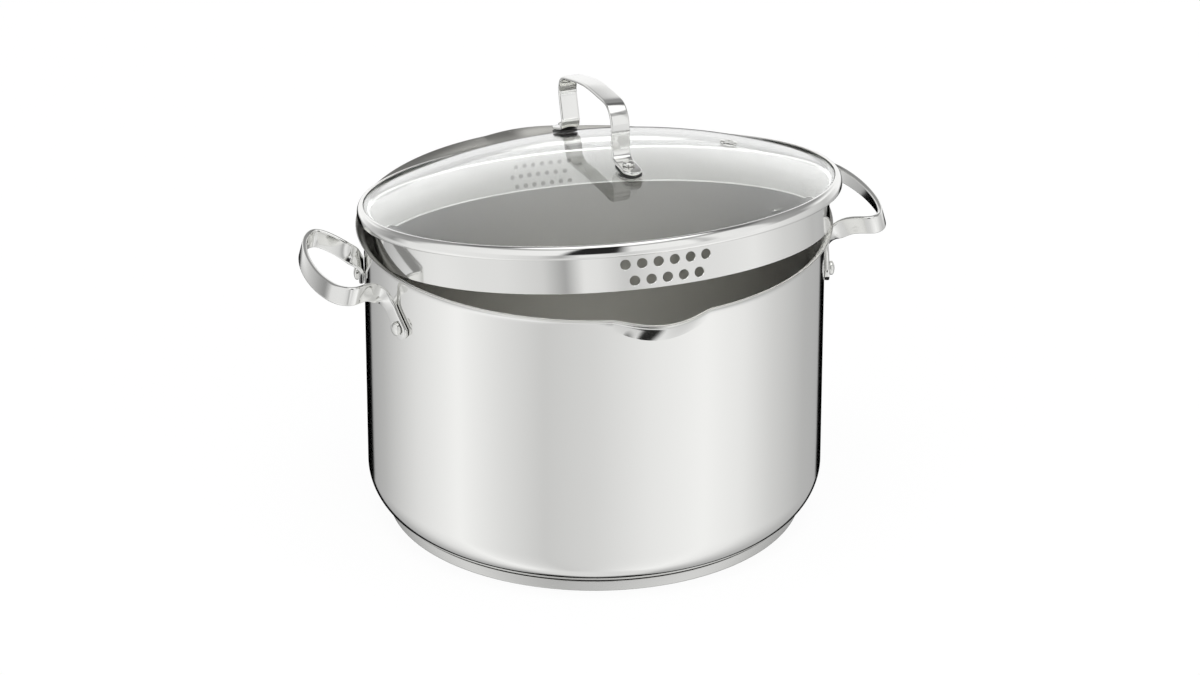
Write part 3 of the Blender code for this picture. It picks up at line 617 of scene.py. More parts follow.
flange_low = FLANGE_TOP - SKIRT_SHEET
skirt_outline = [(FLANGE_R, flange_low)]
skirt_outline += arc((SKIRT_R + SKIRT_BEND, flange_low - SKIRT_BEND), SKIRT_BEND, 90, 180, 15)
skirt_outline += [(SKIRT_R, -SKIRT_DEPTH * row / SKIRT_ROWS) for row in range(2, SKIRT_ROWS)]
skirt_outline += [(SKIRT_R, EDGE_BEAD - SKIRT_DEPTH)]
bead = [(SKIRT_R, BEAD_EASE - SKIRT_DEPTH), (SKIRT_R - BEAD_EASE, -SKIRT_DEPTH),
        (SKIRT_R - SKIRT_SHEET - BEAD_FLAT, -SKIRT_DEPTH),
        (SKIRT_R - SKIRT_SHEET - BEAD_LEAN, BEAD_LIFT - SKIRT_DEPTH)]
skirt_profile = skirt_outline + bead + offset(skirt_outline, -SKIRT_SHEET)[::-1]
skirt = turned("strainer_collar", lambda angle: skirt_profile, range(360))

# Punches one row of round holes through a wall that stands round the Z axis.
punch, given, result = tree_with("punch_row", {
    "Holes": "Int", "Hole diameter": "Float", "Pitch": "Float", "Row depth": "Float",
    "Shift": "Float", "Heading": "Float", "Wall radius": "Float", "Punch length": "Float",
    "Finish": "Material"})
got = given.outputs
last = add_node(punch, "ShaderNodeMath", {"operation": "SUBTRACT"}, _0=got["Holes"], _1=1.0)
half = add_node(punch, "ShaderNodeMath", {"operation": "MULTIPLY"}, _0=last.outputs[0], _1=-0.5)
first = add_node(punch, "ShaderNodeMath", {"operation": "ADD"}, _0=half.outputs[0],
                 _1=got["Shift"])
start = add_node(punch, "ShaderNodeMath", {"operation": "MULTIPLY"}, _0=first.outputs[0],
                 _1=got["Pitch"])
row = add_node(punch, "GeometryNodeMeshLine", Count=got["Holes"],
               Start_Location=add_node(punch, "ShaderNodeCombineXYZ",
                                       X=start.outputs[0]).outputs[0],
               Offset=add_node(punch, "ShaderNodeCombineXYZ", X=got["Pitch"]).outputs[0])
place = add_node(punch, "GeometryNodeInputPosition")
along = add_node(punch, "ShaderNodeSeparateXYZ", Vector=place.outputs[0])
turn = add_node(punch, "ShaderNodeMath", {"operation": "DIVIDE"}, _0=along.outputs["X"],
                _1=got["Wall radius"])
angle = add_node(punch, "ShaderNodeMath", {"operation": "ADD"}, _0=turn.outputs[0],
                 _1=got["Heading"])
down = add_node(punch, "ShaderNodeMath", {"operation": "MULTIPLY"}, _0=got["Row depth"], _1=-1.0)
on_collar = add_node(punch, "ShaderNodeCombineXYZ", Z=down.outputs[0])
for side, operation in (("X", "COSINE"), ("Y", "SINE")):
    part = add_node(punch, "ShaderNodeMath", {"operation": operation}, _0=angle.outputs[0])
    out = add_node(punch, "ShaderNodeMath", {"operation": "MULTIPLY"}, _0=part.outputs[0],
                   _1=got["Wall radius"])
    punch.links.new(out.outputs[0], on_collar.inputs[side])
spots = add_node(punch, "GeometryNodeSetPosition", Geometry=row.outputs["Mesh"],
                 Position=on_collar.outputs[0])
level = add_node(punch, "ShaderNodeVectorMath", {"operation": "MULTIPLY"}, _0=place.outputs[0],
                 _1=(1.0, 1.0, 0.0))
outward = add_node(punch, "FunctionNodeAlignRotationToVector", {"axis": "Z"},
                   Vector=level.outputs[0])
size = add_node(punch, "ShaderNodeMath", {"operation": "MULTIPLY"}, _0=got["Hole diameter"],
                _1=0.5)
rod = add_node(punch, "GeometryNodeMeshCylinder", Vertices=HOLE_SIDES, Radius=size.outputs[0],
               Depth=got["Punch length"])
rods = add_node(punch, "GeometryNodeInstanceOnPoints", Points=spots.outputs["Geometry"],
                Instance=rod.outputs["Mesh"], Rotation=outward.outputs["Rotation"])
solid = add_node(punch, "GeometryNodeRealizeInstances", Geometry=rods.outputs["Instances"])
holed = add_node(punch, "GeometryNodeMeshBoolean", {"operation": "DIFFERENCE", "solver": "EXACT"},
                 _0=got["Mesh"])
punch.links.new(solid.outputs["Geometry"], holed.inputs["Mesh 2"])
dressed = add_node(punch, "GeometryNodeSetMaterial", Geometry=holed.outputs["Mesh"],
                   Material=got["Finish"])
punch.links.new(dressed.outputs["Geometry"], result.inputs["Mesh"])

# The collar's sheet is polished after it is rolled, so its fine streaks run round it.
collar_steel, tree, shader = finish_material("polished_collar_stainless", "#EDEDEB", 1.0, 0.08)
add_grain(tree, shader, (0.08, 0.08, 1.0), 1.2, 0.06, 0.10, 0.0005)
rows = [(count, LARGE_HOLE, LARGE_PITCH, depth, 0.0, 270.0)
        for count, depth in ((6, 12.6), (5, 21.2))]
rows += [(7, SMALL_HOLE, SMALL_PITCH, depth, shift, 90.0)
         for depth, shift in ((11.5, -0.25), (17.2, 0.25), (22.9, -0.25))]
keep_plain(skirt, [(punch, {
    "Holes": count, "Hole diameter": hole * MM, "Pitch": pitch * MM, "Row depth": depth * MM,
    "Shift": shift, "Heading": radians(heading), "Wall radius": SKIRT_R * MM,
    "Punch length": PUNCH_LENGTH * MM, "Finish": collar_steel})
    for count, hole, pitch, depth, shift, heading in rows])
# Its inner side is only brushed, so it scatters the light that falls through the glass, and its
# base, lighter than the outside's, is painted light.
brushed_steel, tree, shader = finish_material("brushed_collar_stainless", "#F6F6F4", 1.0, 0.8)
add_grain(tree, shader, (0.05, 0.05, 1.0), 0.6, 0.76, 0.84, 0.002)
# The flange and bend under the gasket get a dark grey base, painted shade that keeps them from
# mirroring the bright light overhead.
dull_steel, tree, shader = finish_material("pickled_flange_stainless", "#9C9C9A", 1.0, 0.6)
add_grain(tree, shader, (1.0, 1.0, 1.0), 0.6, 0.55, 0.65, 0.002)
skirt.data.materials.clear()
for finish in (collar_steel, brushed_steel, dull_steel):
    skirt.data.materials.append(finish)
brushed_r = (SKIRT_R - BRUSHED_DEPTH * SKIRT_SHEET) * MM
pickled_level = -PICKLED_SHARE * SKIRT_DEPTH * MM
for face in skirt.data.polygons:
    inward = -(face.normal.x * face.center.x + face.normal.y * face.center.y)
    reach = hypot(face.center.x, face.center.y)
    if inward > BRUSHED_FACING * reach and reach < brushed_r:
        face.material_index = 1
    # Upward faces high on the collar take the painted shade grey.
    if face.normal.z > PICKLED_FACING and face.center.z > pickled_level:
        face.material_index = 2
skirt.data.transform(in_metres(lid_place))
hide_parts("strainer_skirt")
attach(skirt, "lid")

# Gasket
# A flat ring of clear silicone under the edge of the pane, which keeps glass and steel
# apart. It is moulded, milky where it is thick and only seen from below and on edge.
GASKET_WIDTH = 4.0
GASKET_CROWN = 0.1

# Its grey base is painted shade, darker than clear silicone, so the pane's edge doesn't shine
# white.
silicone, tree, shader = finish_material("clear_moulded_silicone", "#A9AAA6", 0.0, 0.45,
                                         Transmission_Weight=0.55, IOR=1.41)
add_grain(tree, shader, (1.0, 1.0, 1.0), 0.8, 0.40, 0.52, 0.004)
gasket_top = GLASS_TOP - GLASS_SHEET - SEAT_GAP
gasket_low = gasket_top - GASKET_SHEET
gasket_profile = [(FLANGE_R - GASKET_WIDTH, gasket_low), (FLANGE_R - GASKET_CROWN, gasket_low),
                  (FLANGE_R, gasket_top - GASKET_SHEET / 2),
                  (FLANGE_R - GASKET_CROWN, gasket_top), (FLANGE_R - GASKET_WIDTH, gasket_top)]
gasket = turned("silicone_ring", lambda angle: gasket_profile, full_turn, lid_place)
gasket.data.materials.append(silicone)
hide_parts("glass_gasket")
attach(gasket, "lid_carrier")

# Glass pane
# Tempered soda-lime glass slumped to a shallow dome with a flat land round its edge, three
# millimetres thick. Its faces are fire polished and its drilled holes ground.
GLASS_LAND = 3.5
GLASS_BROW = 0.8
GLASS_RISE = 24.0
DRILL_SIDES = 40
DRILL_LENGTH = 12.0
VENT_OFFSET = 71.0
VENT_TURN = -3.0
VENT_TUBE = 6.0
KNOB_TURN = 2.0
KNOB_RIVET_OFFSET = 53.0
KNOB_RIVET_SHANK = 4.0

dome_base_r = GLASS_R - GLASS_LAND
dome_r = (dome_base_r**2 + GLASS_RISE**2) / (2 * GLASS_RISE)
dome_centre = GLASS_TOP + GLASS_RISE - dome_r
rim_angle = degrees(acos(dome_base_r / dome_r))


def on_dome(x, y):
    """Frame on top of the glass, with its Z axis square to the dome."""
    height = dome_centre + sqrt(dome_r**2 - x * x - y * y)
    normal = Vector((x, y, height - dome_centre))
    return frame_along((x, y, height), normal, (x, y, 0.0))


top = [(0.0, GLASS_TOP + GLASS_RISE)]
top += arc((0.0, dome_centre), dome_r, 90, rim_angle, 0.6)[1:]
top += [(GLASS_R - GLASS_BROW, GLASS_TOP)]
edge_round = arc((GLASS_R - GLASS_SHEET / 2, GLASS_TOP - GLASS_SHEET / 2), GLASS_SHEET / 2,
                 80, -80, 20)
under = offset(top, -GLASS_SHEET)[::-1]
pane_profile = top[:-1] + edge_round + under[1:]
pane = turned("lid_pane", lambda angle: pane_profile, full_turn)
knob_place = Matrix.Rotation(radians(KNOB_TURN), 4, "Z")
drill_frames = [(on_dome(VENT_OFFSET * cos(radians(VENT_TURN)),
                         VENT_OFFSET * sin(radians(VENT_TURN))), VENT_TUBE / 2 + SEAT_GAP)]
drill_frames += [(knob_place @ on_dome(0.0, sign * KNOB_RIVET_OFFSET),
                  KNOB_RIVET_SHANK / 2 + SEAT_GAP) for sign in (-1, 1)]
drill = bmesh.new()
for spot, radius in drill_frames:
    bmesh.ops.create_cone(drill, cap_ends=True, segments=DRILL_SIDES, radius1=radius * MM,
                          radius2=radius * MM, depth=DRILL_LENGTH * MM,
                          matrix=in_metres(spot))
drill_mesh = bpy.data.meshes.new("pane_drill")
drill.to_mesh(drill_mesh)
drill.free()
drill_object = in_scene("pane_drill", drill_mesh)
modifier = pane.modifiers.new("drilled", "BOOLEAN")
modifier.operation = "DIFFERENCE"
modifier.solver = "EXACT"
modifier.object = drill_object
keep_plain(pane)
bpy.data.objects.remove(drill_object)
pane.data.transform(in_metres(lid_place))
# Soda-lime glass is clear and nearly colourless, and its slumped faces ripple faintly, over
# about 60 mm.
glass, tree, shader = finish_material("tempered_soda_lime_glass", "#F8F9F8", 0.0, 0.0,
                                      Transmission_Weight=1.0, IOR=1.5)
ripple = add_node(tree, "ShaderNodeTexNoise", Scale=1 / (60 * MM), Detail=1.0,
                  Vector=add_node(tree, "ShaderNodeTexCoord").outputs["Object"])
flow = add_node(tree, "ShaderNodeBump", Height=ripple.outputs["Fac"], Strength=1.0,
                Distance=0.02 * MM)
tree.links.new(flow.outputs["Normal"], shader.inputs["Normal"])
pane.data.materials.clear()
pane.data.materials.append(glass)
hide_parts("lid_glass")
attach(pane, "lid")

# Rim band
# A strip of bright stainless rolled round pane, gasket and collar flange in one channel,
# which keeps the glass edge safe. Its outer face is crowned and its brow well rounded.
BAND_ROUND = 1.5
BAND_LIP = 3.4
BAND_CROWN = 2.6
BAND_BROW = 4.6
BAND_TUCK = 1.2
BAND_HEIGHT = -FLANGE_TOP + SKIRT_SHEET + SEAT_GAP + BAND_SHEET

band_outline = [(SKIRT_R + BAND_TUCK + BAND_SHEET / 2, -BAND_HEIGHT)]
band_outline += arc((BAND_R - BAND_ROUND, BAND_ROUND - BAND_HEIGHT), BAND_ROUND, -90, 0, 10)
band_outline += [(BAND_R - BAND_CROWN * (1 - cos(radians(a))),
                  BAND_BROW * (sin(radians(a)) - 1)) for a in range(0, 91, 5)]
band_outline += [(BAND_R - BAND_LIP + BAND_SHEET / 2, 0.0)]
inner = offset(band_outline, BAND_SHEET)
band_profile = (band_outline + round_end(band_outline[-1], inner[-1]) + inner[::-1]
                + round_end(inner[0], band_outline[0]))
band = turned("rim_band_ring", lambda angle: band_profile, range(360), lid_place)
# Bright rolled strip mirrors cleanly, with hair-fine lines along its length.
band_steel, tree, shader = finish_material("bright_rolled_stainless", "#F2F2F0", 1.0, 0.07)
add_grain(tree, shader, (0.05, 0.05, 1.0), 0.7, 0.05, 0.09, 0.0005)
band.data.materials.append(band_steel)
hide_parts("lid_band")
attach(band, "lid")

# Steam vent
# A small eyelet of stainless tube flared over the glass on both faces, through which steam
# leaves. It is spun bright, with a rolled edge.
VENT_FLANGE = 9.5
VENT_BORE = 4.4
VENT_SHEET = 0.7
vent_lead_in = ((0.0, 0.3), (0.1, 0.08), (0.35, 0.0))
small_turn = range(0, 360, 10)

over = SEAT_GAP + VENT_SHEET
under_level = -GLASS_SHEET - SEAT_GAP
rim = VENT_FLANGE / 2
bore = VENT_BORE / 2
tube = VENT_TUBE / 2
vent_profile = [(bore + across, over - drop) for across, drop in vent_lead_in]
vent_profile += [(rim - VENT_SHEET, over)]
vent_profile += arc((rim - VENT_SHEET, SEAT_GAP), VENT_SHEET, 75, 0, 15)
vent_profile += [(tube, SEAT_GAP), (tube, under_level)]
vent_profile += arc((rim - VENT_SHEET, under_level), VENT_SHEET, 0, -90, 15)
vent_profile += [(bore, under_level - VENT_SHEET)]
vent = turned("vent_eyelet", lambda angle: vent_profile, small_turn,
              lid_place @ drill_frames[0][0])
vent.data.materials.append(rivet_steel)
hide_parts("vent_grommet")
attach(vent, "lid")

# Lid handle
# A narrower strap than those at the sides, bowed into an arch whose legs lean outward and
# turn out flat into two round-tipped feet. It has the same tumbled finish.
KNOB_WIDTH = 10.0
KNOB_SHEET = 2.0
KNOB_HEIGHT = 33.5
KNOB_BOW = 4.5
KNOB_BOW_ROUND = 120.0
KNOB_FOOT_TIP = 10.5
KNOB_LEG_OFFSET = 40.5
KNOB_TOP_OFFSET = 46.0
KNOB_ANKLE_ROUND = 5.0
KNOB_SHOULDER_ROUND = 10.0
ARCH_ROUNDS = 30
ARCH_EASE = 0.85
SEAL_SHEET = 1.2
SEAL_MARGIN = 0.1


def knob_foot(sign):
    """Frame at a lid handle rivet, with X pointing out along the foot and Z off the glass."""
    spot = on_dome(0.0, sign * KNOB_RIVET_OFFSET)
    normal = spot.col[2].to_3d()
    along = Vector((0.0, sign, 0.0))
    along = (along - along.dot(normal) * normal).normalized()
    axes = Matrix((along, normal.cross(along), normal)).transposed().to_4x4()
    return Matrix.Translation(spot.translation) @ axes


def filleted(corners, radii):
    """Flat path through corner points, with each inner corner rounded to its radius."""
    path = [corners[0]]
    for before, corner, after, radius in zip(corners, corners[1:], corners[2:], radii):
        come = (corner - before).normalized()
        go = (after - corner).normalized()
        turn = come.angle(go)
        inward = (go - come).normalized()
        centre = corner + inward * (radius / cos(turn / 2))
        start = corner - come * (radius * sin(turn / 2) / cos(turn / 2)) - centre
        steps = max(4, ceil(degrees(turn) / 5))
        axis = come.cross(go).normalized()
        path += [centre + Matrix.Rotation(turn * i / steps, 3, axis) @ start
                 for i in range(steps + 1)]
    path.append(corners[-1])
    return path


foot_level = 2 * SEAT_GAP + SEAL_SHEET + KNOB_SHEET / 2
arch_top = dome_centre + dome_r + KNOB_HEIGHT - KNOB_SHEET / 2
corners = []
for sign in (-1, 1):
    foot = knob_foot(sign)
    tip = foot @ Vector((KNOB_FOOT_TIP, 0.0, foot_level))
    along = foot.col[0].to_3d()
    ankle = (foot @ Vector((0.0, 0.0, foot_level))
             - along * ((KNOB_RIVET_OFFSET - KNOB_LEG_OFFSET) / abs(along.y)))
    corners.append([tip, ankle, Vector((0.0, sign * KNOB_TOP_OFFSET, arch_top - KNOB_BOW))])
first, last = corners
arch_path = filleted([*first, Vector((0.0, 0.0, arch_top)), *last[::-1]],
                     [KNOB_ANKLE_ROUND, KNOB_SHOULDER_ROUND, KNOB_BOW_ROUND,
                      KNOB_SHOULDER_ROUND, KNOB_ANKLE_ROUND])
arch_path = relaxed(smooth_path(arch_path, PATH_STEP), ARCH_ROUNDS)
tip_widths = [(KNOB_WIDTH / 2 * (1 - cos(radians(a))), KNOB_WIDTH * sin(radians(a)))
              for a in (12, 24, 36, 48, 60, 75, 90)]
arch_path, arch_widths = eased_ends(arch_path, tip_widths)
arch = strap("lid_arch", arch_path, [Vector((1.0, 0.0, 0.0))] * len(arch_path), arch_widths,
             KNOB_SHEET, lid_place @ knob_place, ARCH_EASE)
arch.data.materials.append(soft_mirror)
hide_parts("lid_handle")
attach(arch, "lid")

# Seals and washers
# A black silicone pad under each foot keeps steel off the glass, with a plain steel washer
# below it. The pads are moulded to the foot's shape, a little proud of it all round.
PAD_EDGE = 0.25
WASHER_R = 5.5
WASHER_SHEET = 0.8
WASHER_EDGE = 0.15

# Black moulded silicone is dull, with a faint bloom.
black_silicone, tree, shader = finish_material("black_moulded_silicone", "#414140", 0.0, 0.5,
                                               Specular_IOR_Level=0.35)
add_grain(tree, shader, (1.0, 1.0, 1.0), 0.5, 0.45, 0.6, 0.004)
pad_r = KNOB_WIDTH / 2 + SEAL_MARGIN
pad_reach = KNOB_FOOT_TIP + SEAL_MARGIN - pad_r
pad_top = SEAT_GAP + SEAL_SHEET
rings = []
for inset, height in ((PAD_EDGE, SEAT_GAP), (0.0, SEAT_GAP + PAD_EDGE),
                      (0.0, pad_top - PAD_EDGE), (PAD_EDGE, pad_top)):
    ring = arc((pad_reach, 0.0), pad_r - inset, -90, 90, 9)
    ring += arc((-pad_reach, 0.0), pad_r - inset, 90, 270, 9)
    rings.append([(x, y, height) for x, y in ring])
count = len(rings[0])
bore_r = KNOB_RIVET_SHANK / 2 + SEAT_GAP
bore_turns = [pi * (2 * i / count - 0.5) for i in range(count)]
low_bore, high_bore = [[(bore_r * cos(turn), bore_r * sin(turn), height) for turn in bore_turns]
                       for height in (SEAT_GAP, pad_top)]
rings = [low_bore, *rings, high_bore]
pad_faces = []
for k in range(len(rings)):
    low = k * count
    high = (k + 1) % len(rings) * count
    pad_faces += [[low + i, low + (i + 1) % count, high + (i + 1) % count, high + i]
                  for i in range(count)]
pad_points = [point for ring in rings for point in ring]
for word, sign in (("front", -1), ("back", 1)):
    pad = to_mesh("foot_pad_" + word, pad_points, pad_faces,
                  lid_place @ knob_place @ knob_foot(sign))
    pad.data.materials.append(black_silicone)
    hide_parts("lid_seal_" + word)
    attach(pad, "lid")

washer_top = -GLASS_SHEET - SEAT_GAP
washer_low = washer_top - WASHER_SHEET
washer_profile = [(bore_r, washer_low), (WASHER_R - WASHER_EDGE, washer_low),
                  (WASHER_R, washer_low + WASHER_EDGE), (WASHER_R, washer_top - WASHER_EDGE),
                  (WASHER_R - WASHER_EDGE, washer_top), (bore_r, washer_top)]
washer_blank = turned("washer_blank", lambda angle: washer_profile, small_turn)
knob_frames = [lid_place @ knob_place @ knob_foot(sign) for sign in (-1, 1)]
# Stamped washers keep the grey sheen of plain sheet.
washer_steel, tree, shader = finish_material("stamped_washer_stainless", "#C8C8C6", 1.0, 0.28)
add_grain(tree, shader, (1.0, 1.0, 1.0), 0.4, 0.24, 0.34, 0.003)
washers = set_fasteners("lid_washers", washer_blank, knob_frames, washer_steel)
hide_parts("lid_washer_front", "lid_washer_back")
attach(washers, "lid")

# Lid rivets
# Two smaller rivets of the same steel as those on the sides pass through foot, pad, glass
# and washer. Their heads are nearly flat drums with a rounded brow.
KNOB_RIVET_HEAD = 6.4
KNOB_RIVET_DOME = 2.0
KNOB_RIVET_TAIL = 8.0

head_seat = 3 * SEAT_GAP + SEAL_SHEET + KNOB_SHEET
knob_grip = head_seat - (washer_low - SEAT_GAP)
lid_rivet = rivet_blank("lid_rivet_blank", KNOB_RIVET_HEAD, KNOB_RIVET_DOME, KNOB_RIVET_SHANK,
                        knob_grip, KNOB_RIVET_TAIL)
head_frames = [spot @ Matrix.Translation((0.0, 0.0, head_seat)) for spot in knob_frames]
lid_rivets = set_fasteners("lid_rivets", lid_rivet, head_frames, rivet_steel)
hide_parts("lid_rivet_front", "lid_rivet_back")
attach(lid_rivets, "lid")

# Sweep
# The pot stands on a white sweep. The camera and clear glass see it as plain white, and it
# keeps only a breath of the pot's shadow. Sizes from here on are in metres.
SWEEP_HALF = 4
SWEEP_LEVEL = -0.0002


def bare_tree(owner):
    """Empty node tree of a material or the world."""
    owner.use_nodes = True
    owner.node_tree.nodes.clear()
    return owner.node_tree


floor_mesh = bpy.data.meshes.new("sweep")
floor_mesh.from_pydata([(x * SWEEP_HALF, y * SWEEP_HALF, SWEEP_LEVEL)
                        for x, y in ((-1, -1), (1, -1), (1, 1), (-1, 1))], [], [(0, 1, 2, 3)])
floor = in_scene("sweep", floor_mesh)
floor.visible_glossy = False
paper = bpy.data.materials.new("matt_white_paper")
tree = bare_tree(paper)
seen = add_node(tree, "ShaderNodeLightPath")
direct = add_node(tree, "ShaderNodeMath", {"operation": "MAXIMUM"},
                  _0=seen.outputs["Is Camera Ray"], _1=seen.outputs["Is Transmission Ray"])
shade = add_node(tree, "ShaderNodeBsdfDiffuse", Color=colour("#FFFFFF"))
bright = add_node(tree, "ShaderNodeEmission", Color=colour("#FFFFFF"), Strength=1.04)
catch = add_node(tree, "ShaderNodeMixShader", _0=0.12, _1=bright.outputs[0], _2=shade.outputs[0])
dull = add_node(tree, "ShaderNodeBsdfDiffuse", Color=colour("#E6E6E6"))
mixed = add_node(tree, "ShaderNodeMixShader", _0=direct.outputs[0], _1=dull.outputs[0],
                 _2=catch.outputs[0])
add_node(tree, "ShaderNodeOutputMaterial", Surface=mixed.outputs[0])
floor_mesh.materials.append(paper)

# Painted reflection flags
# Two black cards lie in front of each spout, below it, and thin out towards their edges. Only
# reflections see them, and only steeply, so they paint a dark reflection into each pressed
# hollow.
FLAG_SIDES = 40
FLAG_MIDDLE = 0.006
FLAG_REACH = 0.034
FLAG_HEIGHT = 0.095
flag_spans = ((0.128, 0.1455), (0.1455, 0.182))

louvre = bpy.data.materials.new("black_louvre")
tree = bare_tree(louvre)
facing = add_node(tree, "ShaderNodeLayerWeight", Blend=0.5)
steep = add_node(tree, "ShaderNodeMapRange", Value=facing.outputs["Facing"], From_Min=0.26,
                 From_Max=0.44)
closed = add_node(tree, "ShaderNodeMath", {"operation": "SUBTRACT"}, _0=1.0,
                  _1=steep.outputs["Result"])
cover = add_node(tree, "ShaderNodeAttribute", {"attribute_name": "cover"})
thickened = add_node(tree, "ShaderNodeMapRange", Value=cover.outputs["Fac"], From_Max=0.5)
thinned = add_node(tree, "ShaderNodeMath", {"operation": "MULTIPLY"}, _0=closed.outputs[0],
                   _1=thickened.outputs["Result"])
# Their flat dark glow is the painted reflection.
slats = add_node(tree, "ShaderNodeEmission", Color=colour("#262625"), Strength=1.0)
gap = add_node(tree, "ShaderNodeBsdfTransparent")
show = add_node(tree, "ShaderNodeMixShader", _0=thinned.outputs[0], _1=gap.outputs[0],
                _2=slats.outputs[0])
add_node(tree, "ShaderNodeOutputMaterial", Surface=show.outputs[0])
flag_mesh = bpy.data.meshes.new("spout_flags")
flag_points, flag_cover, flag_faces = [], [], []
for sign in (-1, 1):
    for near, far in flag_spans:
        centre = len(flag_points)
        middle = (near + far) / 2
        flag_points.append((FLAG_MIDDLE * sign, middle * sign, FLAG_HEIGHT))
        for step in range(FLAG_SIDES):
            turn = 2 * pi * step / FLAG_SIDES
            flag_points.append(((FLAG_MIDDLE + FLAG_REACH * cos(turn)) * sign,
                                (middle + (far - near) / 2 * sin(turn)) * sign, FLAG_HEIGHT))
            flag_faces.append((centre, centre + 1 + step,
                               centre + 1 + (step + 1) % FLAG_SIDES))
        flag_cover += [1.0] + [0.0] * FLAG_SIDES
flag_mesh.from_pydata(flag_points, [], flag_faces)
flag_mesh.attributes.new("cover", "FLOAT", "POINT").data.foreach_set("value", flag_cover)
flag_mesh.materials.append(louvre)
flags = in_scene("spout_flags", flag_mesh)
flags.visible_camera = False
flags.visible_diffuse = False
flags.visible_shadow = False
flags.visible_transmission = False

# Studio
# A ring of tall soft boxes stands round the table, brightest left and right of the camera,
# with a narrow black flag behind on each side that gives the pot its dark outline.
CAMERA_HEADING = -106.5
low_boxes = ((-180, 0.03), (-172, 0.0), (-153, 0.0), (-150, 0.43), (-133, 0.52), (-100, 0.84),
             (-72, 1.03), (-48, 0.84), (-25, 0.68), (0, 0.76), (28, 0.92), (57, 1.03),
             (80, 0.92), (101, 0.72), (130, 0.52), (153, 0.46), (156, 0.0), (172, 0.0),
             (180, 0.03))
# At eye level the flags end and a white wall shows behind.
eye_boxes = ((-180, 1.0), (-150, 1.0), (-133, 0.6), (-112, 0.3), (-100, 0.84), (-72, 0.86),
             (-48, 0.84), (-28, 0.72), (-17, 0.42), (-8, 0.9), (0, 0.86), (12, 0.66),
             (28, 0.82), (57, 0.85), (80, 0.92), (101, 0.74), (130, 0.57), (150, 1.0),
             (180, 1.0))
# Higher up there is a dark gap above the camera and a dark doorway on each side, and
# higher still the wall behind falls off in shade.
high_boxes = ((-180, 1.0), (-140, 1.0), (-128, 0.42), (-104, 0.34), (-92, 0.85), (-20, 0.95),
              (-15, 0.02), (7, 0.02), (14, 0.9), (44, 0.95), (50, 0.55), (58, 0.9), (84, 0.85),
              (92, 0.4), (112, 0.34), (128, 1.0), (180, 1.0))
BACK_SHADE = 0.3
BACK_HEADING = 120
top_boxes = [(heading, min(level, BACK_SHADE) if abs(heading) > BACK_HEADING else level)
             for heading, level in high_boxes]


def grey(level):
    """A neutral colour of one level."""
    return (level, level, level, 1.0)


world = bpy.data.worlds.new("studio")
bpy.context.scene.world = world
tree = bare_tree(world)
ray = add_node(tree, "ShaderNodeTexCoord")
parts = add_node(tree, "ShaderNodeSeparateXYZ", Vector=ray.outputs["Generated"])
height = parts.outputs["Z"]
heading = add_node(tree, "ShaderNodeMath", {"operation": "ARCTAN2"}, _0=parts.outputs["Y"],
                   _1=parts.outputs["X"])
from_camera = add_node(tree, "ShaderNodeMath", {"operation": "SUBTRACT"}, _0=heading.outputs[0],
                       _1=radians(CAMERA_HEADING))
wrapped = add_node(tree, "ShaderNodeMath", {"operation": "WRAP"}, _0=from_camera.outputs[0],
                   _1=pi, _2=-pi)
share = add_node(tree, "ShaderNodeMapRange", Value=wrapped.outputs[0], From_Min=-pi, From_Max=pi)
rings = []
for boxes in (low_boxes, eye_boxes, high_boxes, top_boxes):
    ring = add_node(tree, "ShaderNodeValToRGB", Fac=share.outputs["Result"])
    stops = ring.color_ramp.elements
    while len(stops) < len(boxes):
        stops.new(0.5)
    for stop, (place, level) in zip(stops, boxes):
        stop.position = (place + 180) / 360
        stop.color = grey(level)
    rings.append(ring.outputs["Color"])
# Each light takes over between two heights on the unit sphere. A shaded edge frames the wide
# soft box overhead, and the table top shows straight below.
light = rings[0]
for start, end, above, blend in (
        (-0.36, -0.24, rings[1], "MIX"), (-0.02, 0.1, rings[2], "MIX"),
        (0.1, 0.4, rings[3], "MIX"), (0.68, 0.76, grey(0.5), "MULTIPLY"),
        (0.86, 0.92, grey(1.3), "MIX"), (-0.95, -0.99, grey(0.8), "MIX")):
    risen = add_node(tree, "ShaderNodeMapRange", {"interpolation_type": "SMOOTHSTEP"},
                     Value=height, From_Min=start, From_Max=end)
    light = add_node(tree, "ShaderNodeMix", {"data_type": "RGBA", "blend_type": blend},
                     _0=risen.outputs["Result"], _6=light, _7=above).outputs[2]
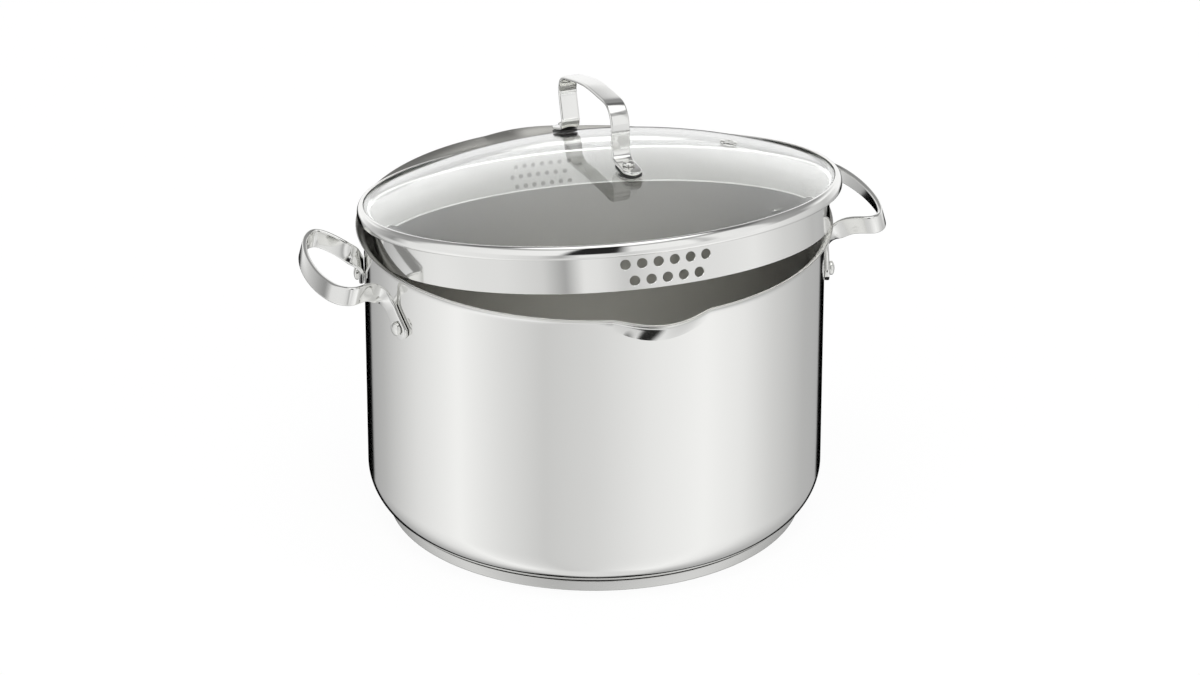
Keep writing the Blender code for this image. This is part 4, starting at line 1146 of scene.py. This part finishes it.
# The camera, and clear glass straight before it, see plain white.
light_path = add_node(tree, "ShaderNodeLightPath")
through_glass = light_path.outputs["Is Transmission Ray"]
no_gloss = add_node(tree, "ShaderNodeMath", {"operation": "LESS_THAN"},
                    _0=light_path.outputs["Glossy Depth"], _1=0.5)
clear = add_node(tree, "ShaderNodeMath", {"operation": "MULTIPLY"}, _0=no_gloss.outputs[0],
                 _1=through_glass)
plain_white = add_node(tree, "ShaderNodeMath", {"operation": "MAXIMUM"}, _0=clear.outputs[0],
                       _1=light_path.outputs["Is Camera Ray"])
# Light that the glass lets into the pot is stronger and more even than the light outside,
# and light that has met steel twice never falls below a dim fill.
second = add_node(tree, "ShaderNodeMath", {"operation": "GREATER_THAN"},
                  _0=light_path.outputs["Glossy Depth"], _1=1.5)
let_in = add_node(tree, "ShaderNodeMix", {"data_type": "RGBA", "blend_type": "LIGHTEN"},
                  _0=through_glass, _6=light, _7=grey(0.95))
filled = add_node(tree, "ShaderNodeMix", {"data_type": "RGBA", "blend_type": "LIGHTEN"},
                  _0=second.outputs[0], _6=let_in.outputs[2], _7=grey(0.3))
inside = add_node(tree, "ShaderNodeMath", {"operation": "MULTIPLY_ADD"},
                  _0=through_glass, _1=1.2, _2=1.0)
studio = add_node(tree, "ShaderNodeBackground", Color=filled.outputs[2],
                  Strength=inside.outputs[0])
white = add_node(tree, "ShaderNodeBackground", Color=(1.0, 1.0, 1.0, 1.0), Strength=1.0)
sky = add_node(tree, "ShaderNodeMixShader", _0=plain_white.outputs[0], _1=studio.outputs[0],
               _2=white.outputs[0])
add_node(tree, "ShaderNodeOutputWorld", Surface=sky.outputs[0])

# One wide lamp overhead lights what is not mirror.
lamp = bpy.data.lights.new("overhead_soft_box", "AREA")
lamp.shape = "RECTANGLE"
lamp.size = 1.6
lamp.size_y = 1.2
lamp.energy = 6.0
lamp_object = in_scene("overhead_soft_box", lamp)
lamp_object.location = (0.1, -0.3, 1.9)
lamp_object.rotation_euler = (radians(9), 0.0, 0.0)
lamp_object.visible_glossy = False

# Camera
# A long lens stands about 2.7 metres away and looks down on the pot from the front left. A
# small sideways shift sets the pot a little left of the middle of the frame.
lens = bpy.data.cameras.new("camera")
lens.sensor_width = 36
lens.lens = 152.57
lens.shift_x = 0.0047
lens.clip_start = 0.1
camera = in_scene("camera", lens)
camera.location = (-0.6906, -2.3315, 1.2556)
camera.rotation_euler = (radians(64.45), 0.0, radians(-16.5))
bpy.context.scene.camera = camera
bpy.context.scene.view_settings.view_transform = "Standard"
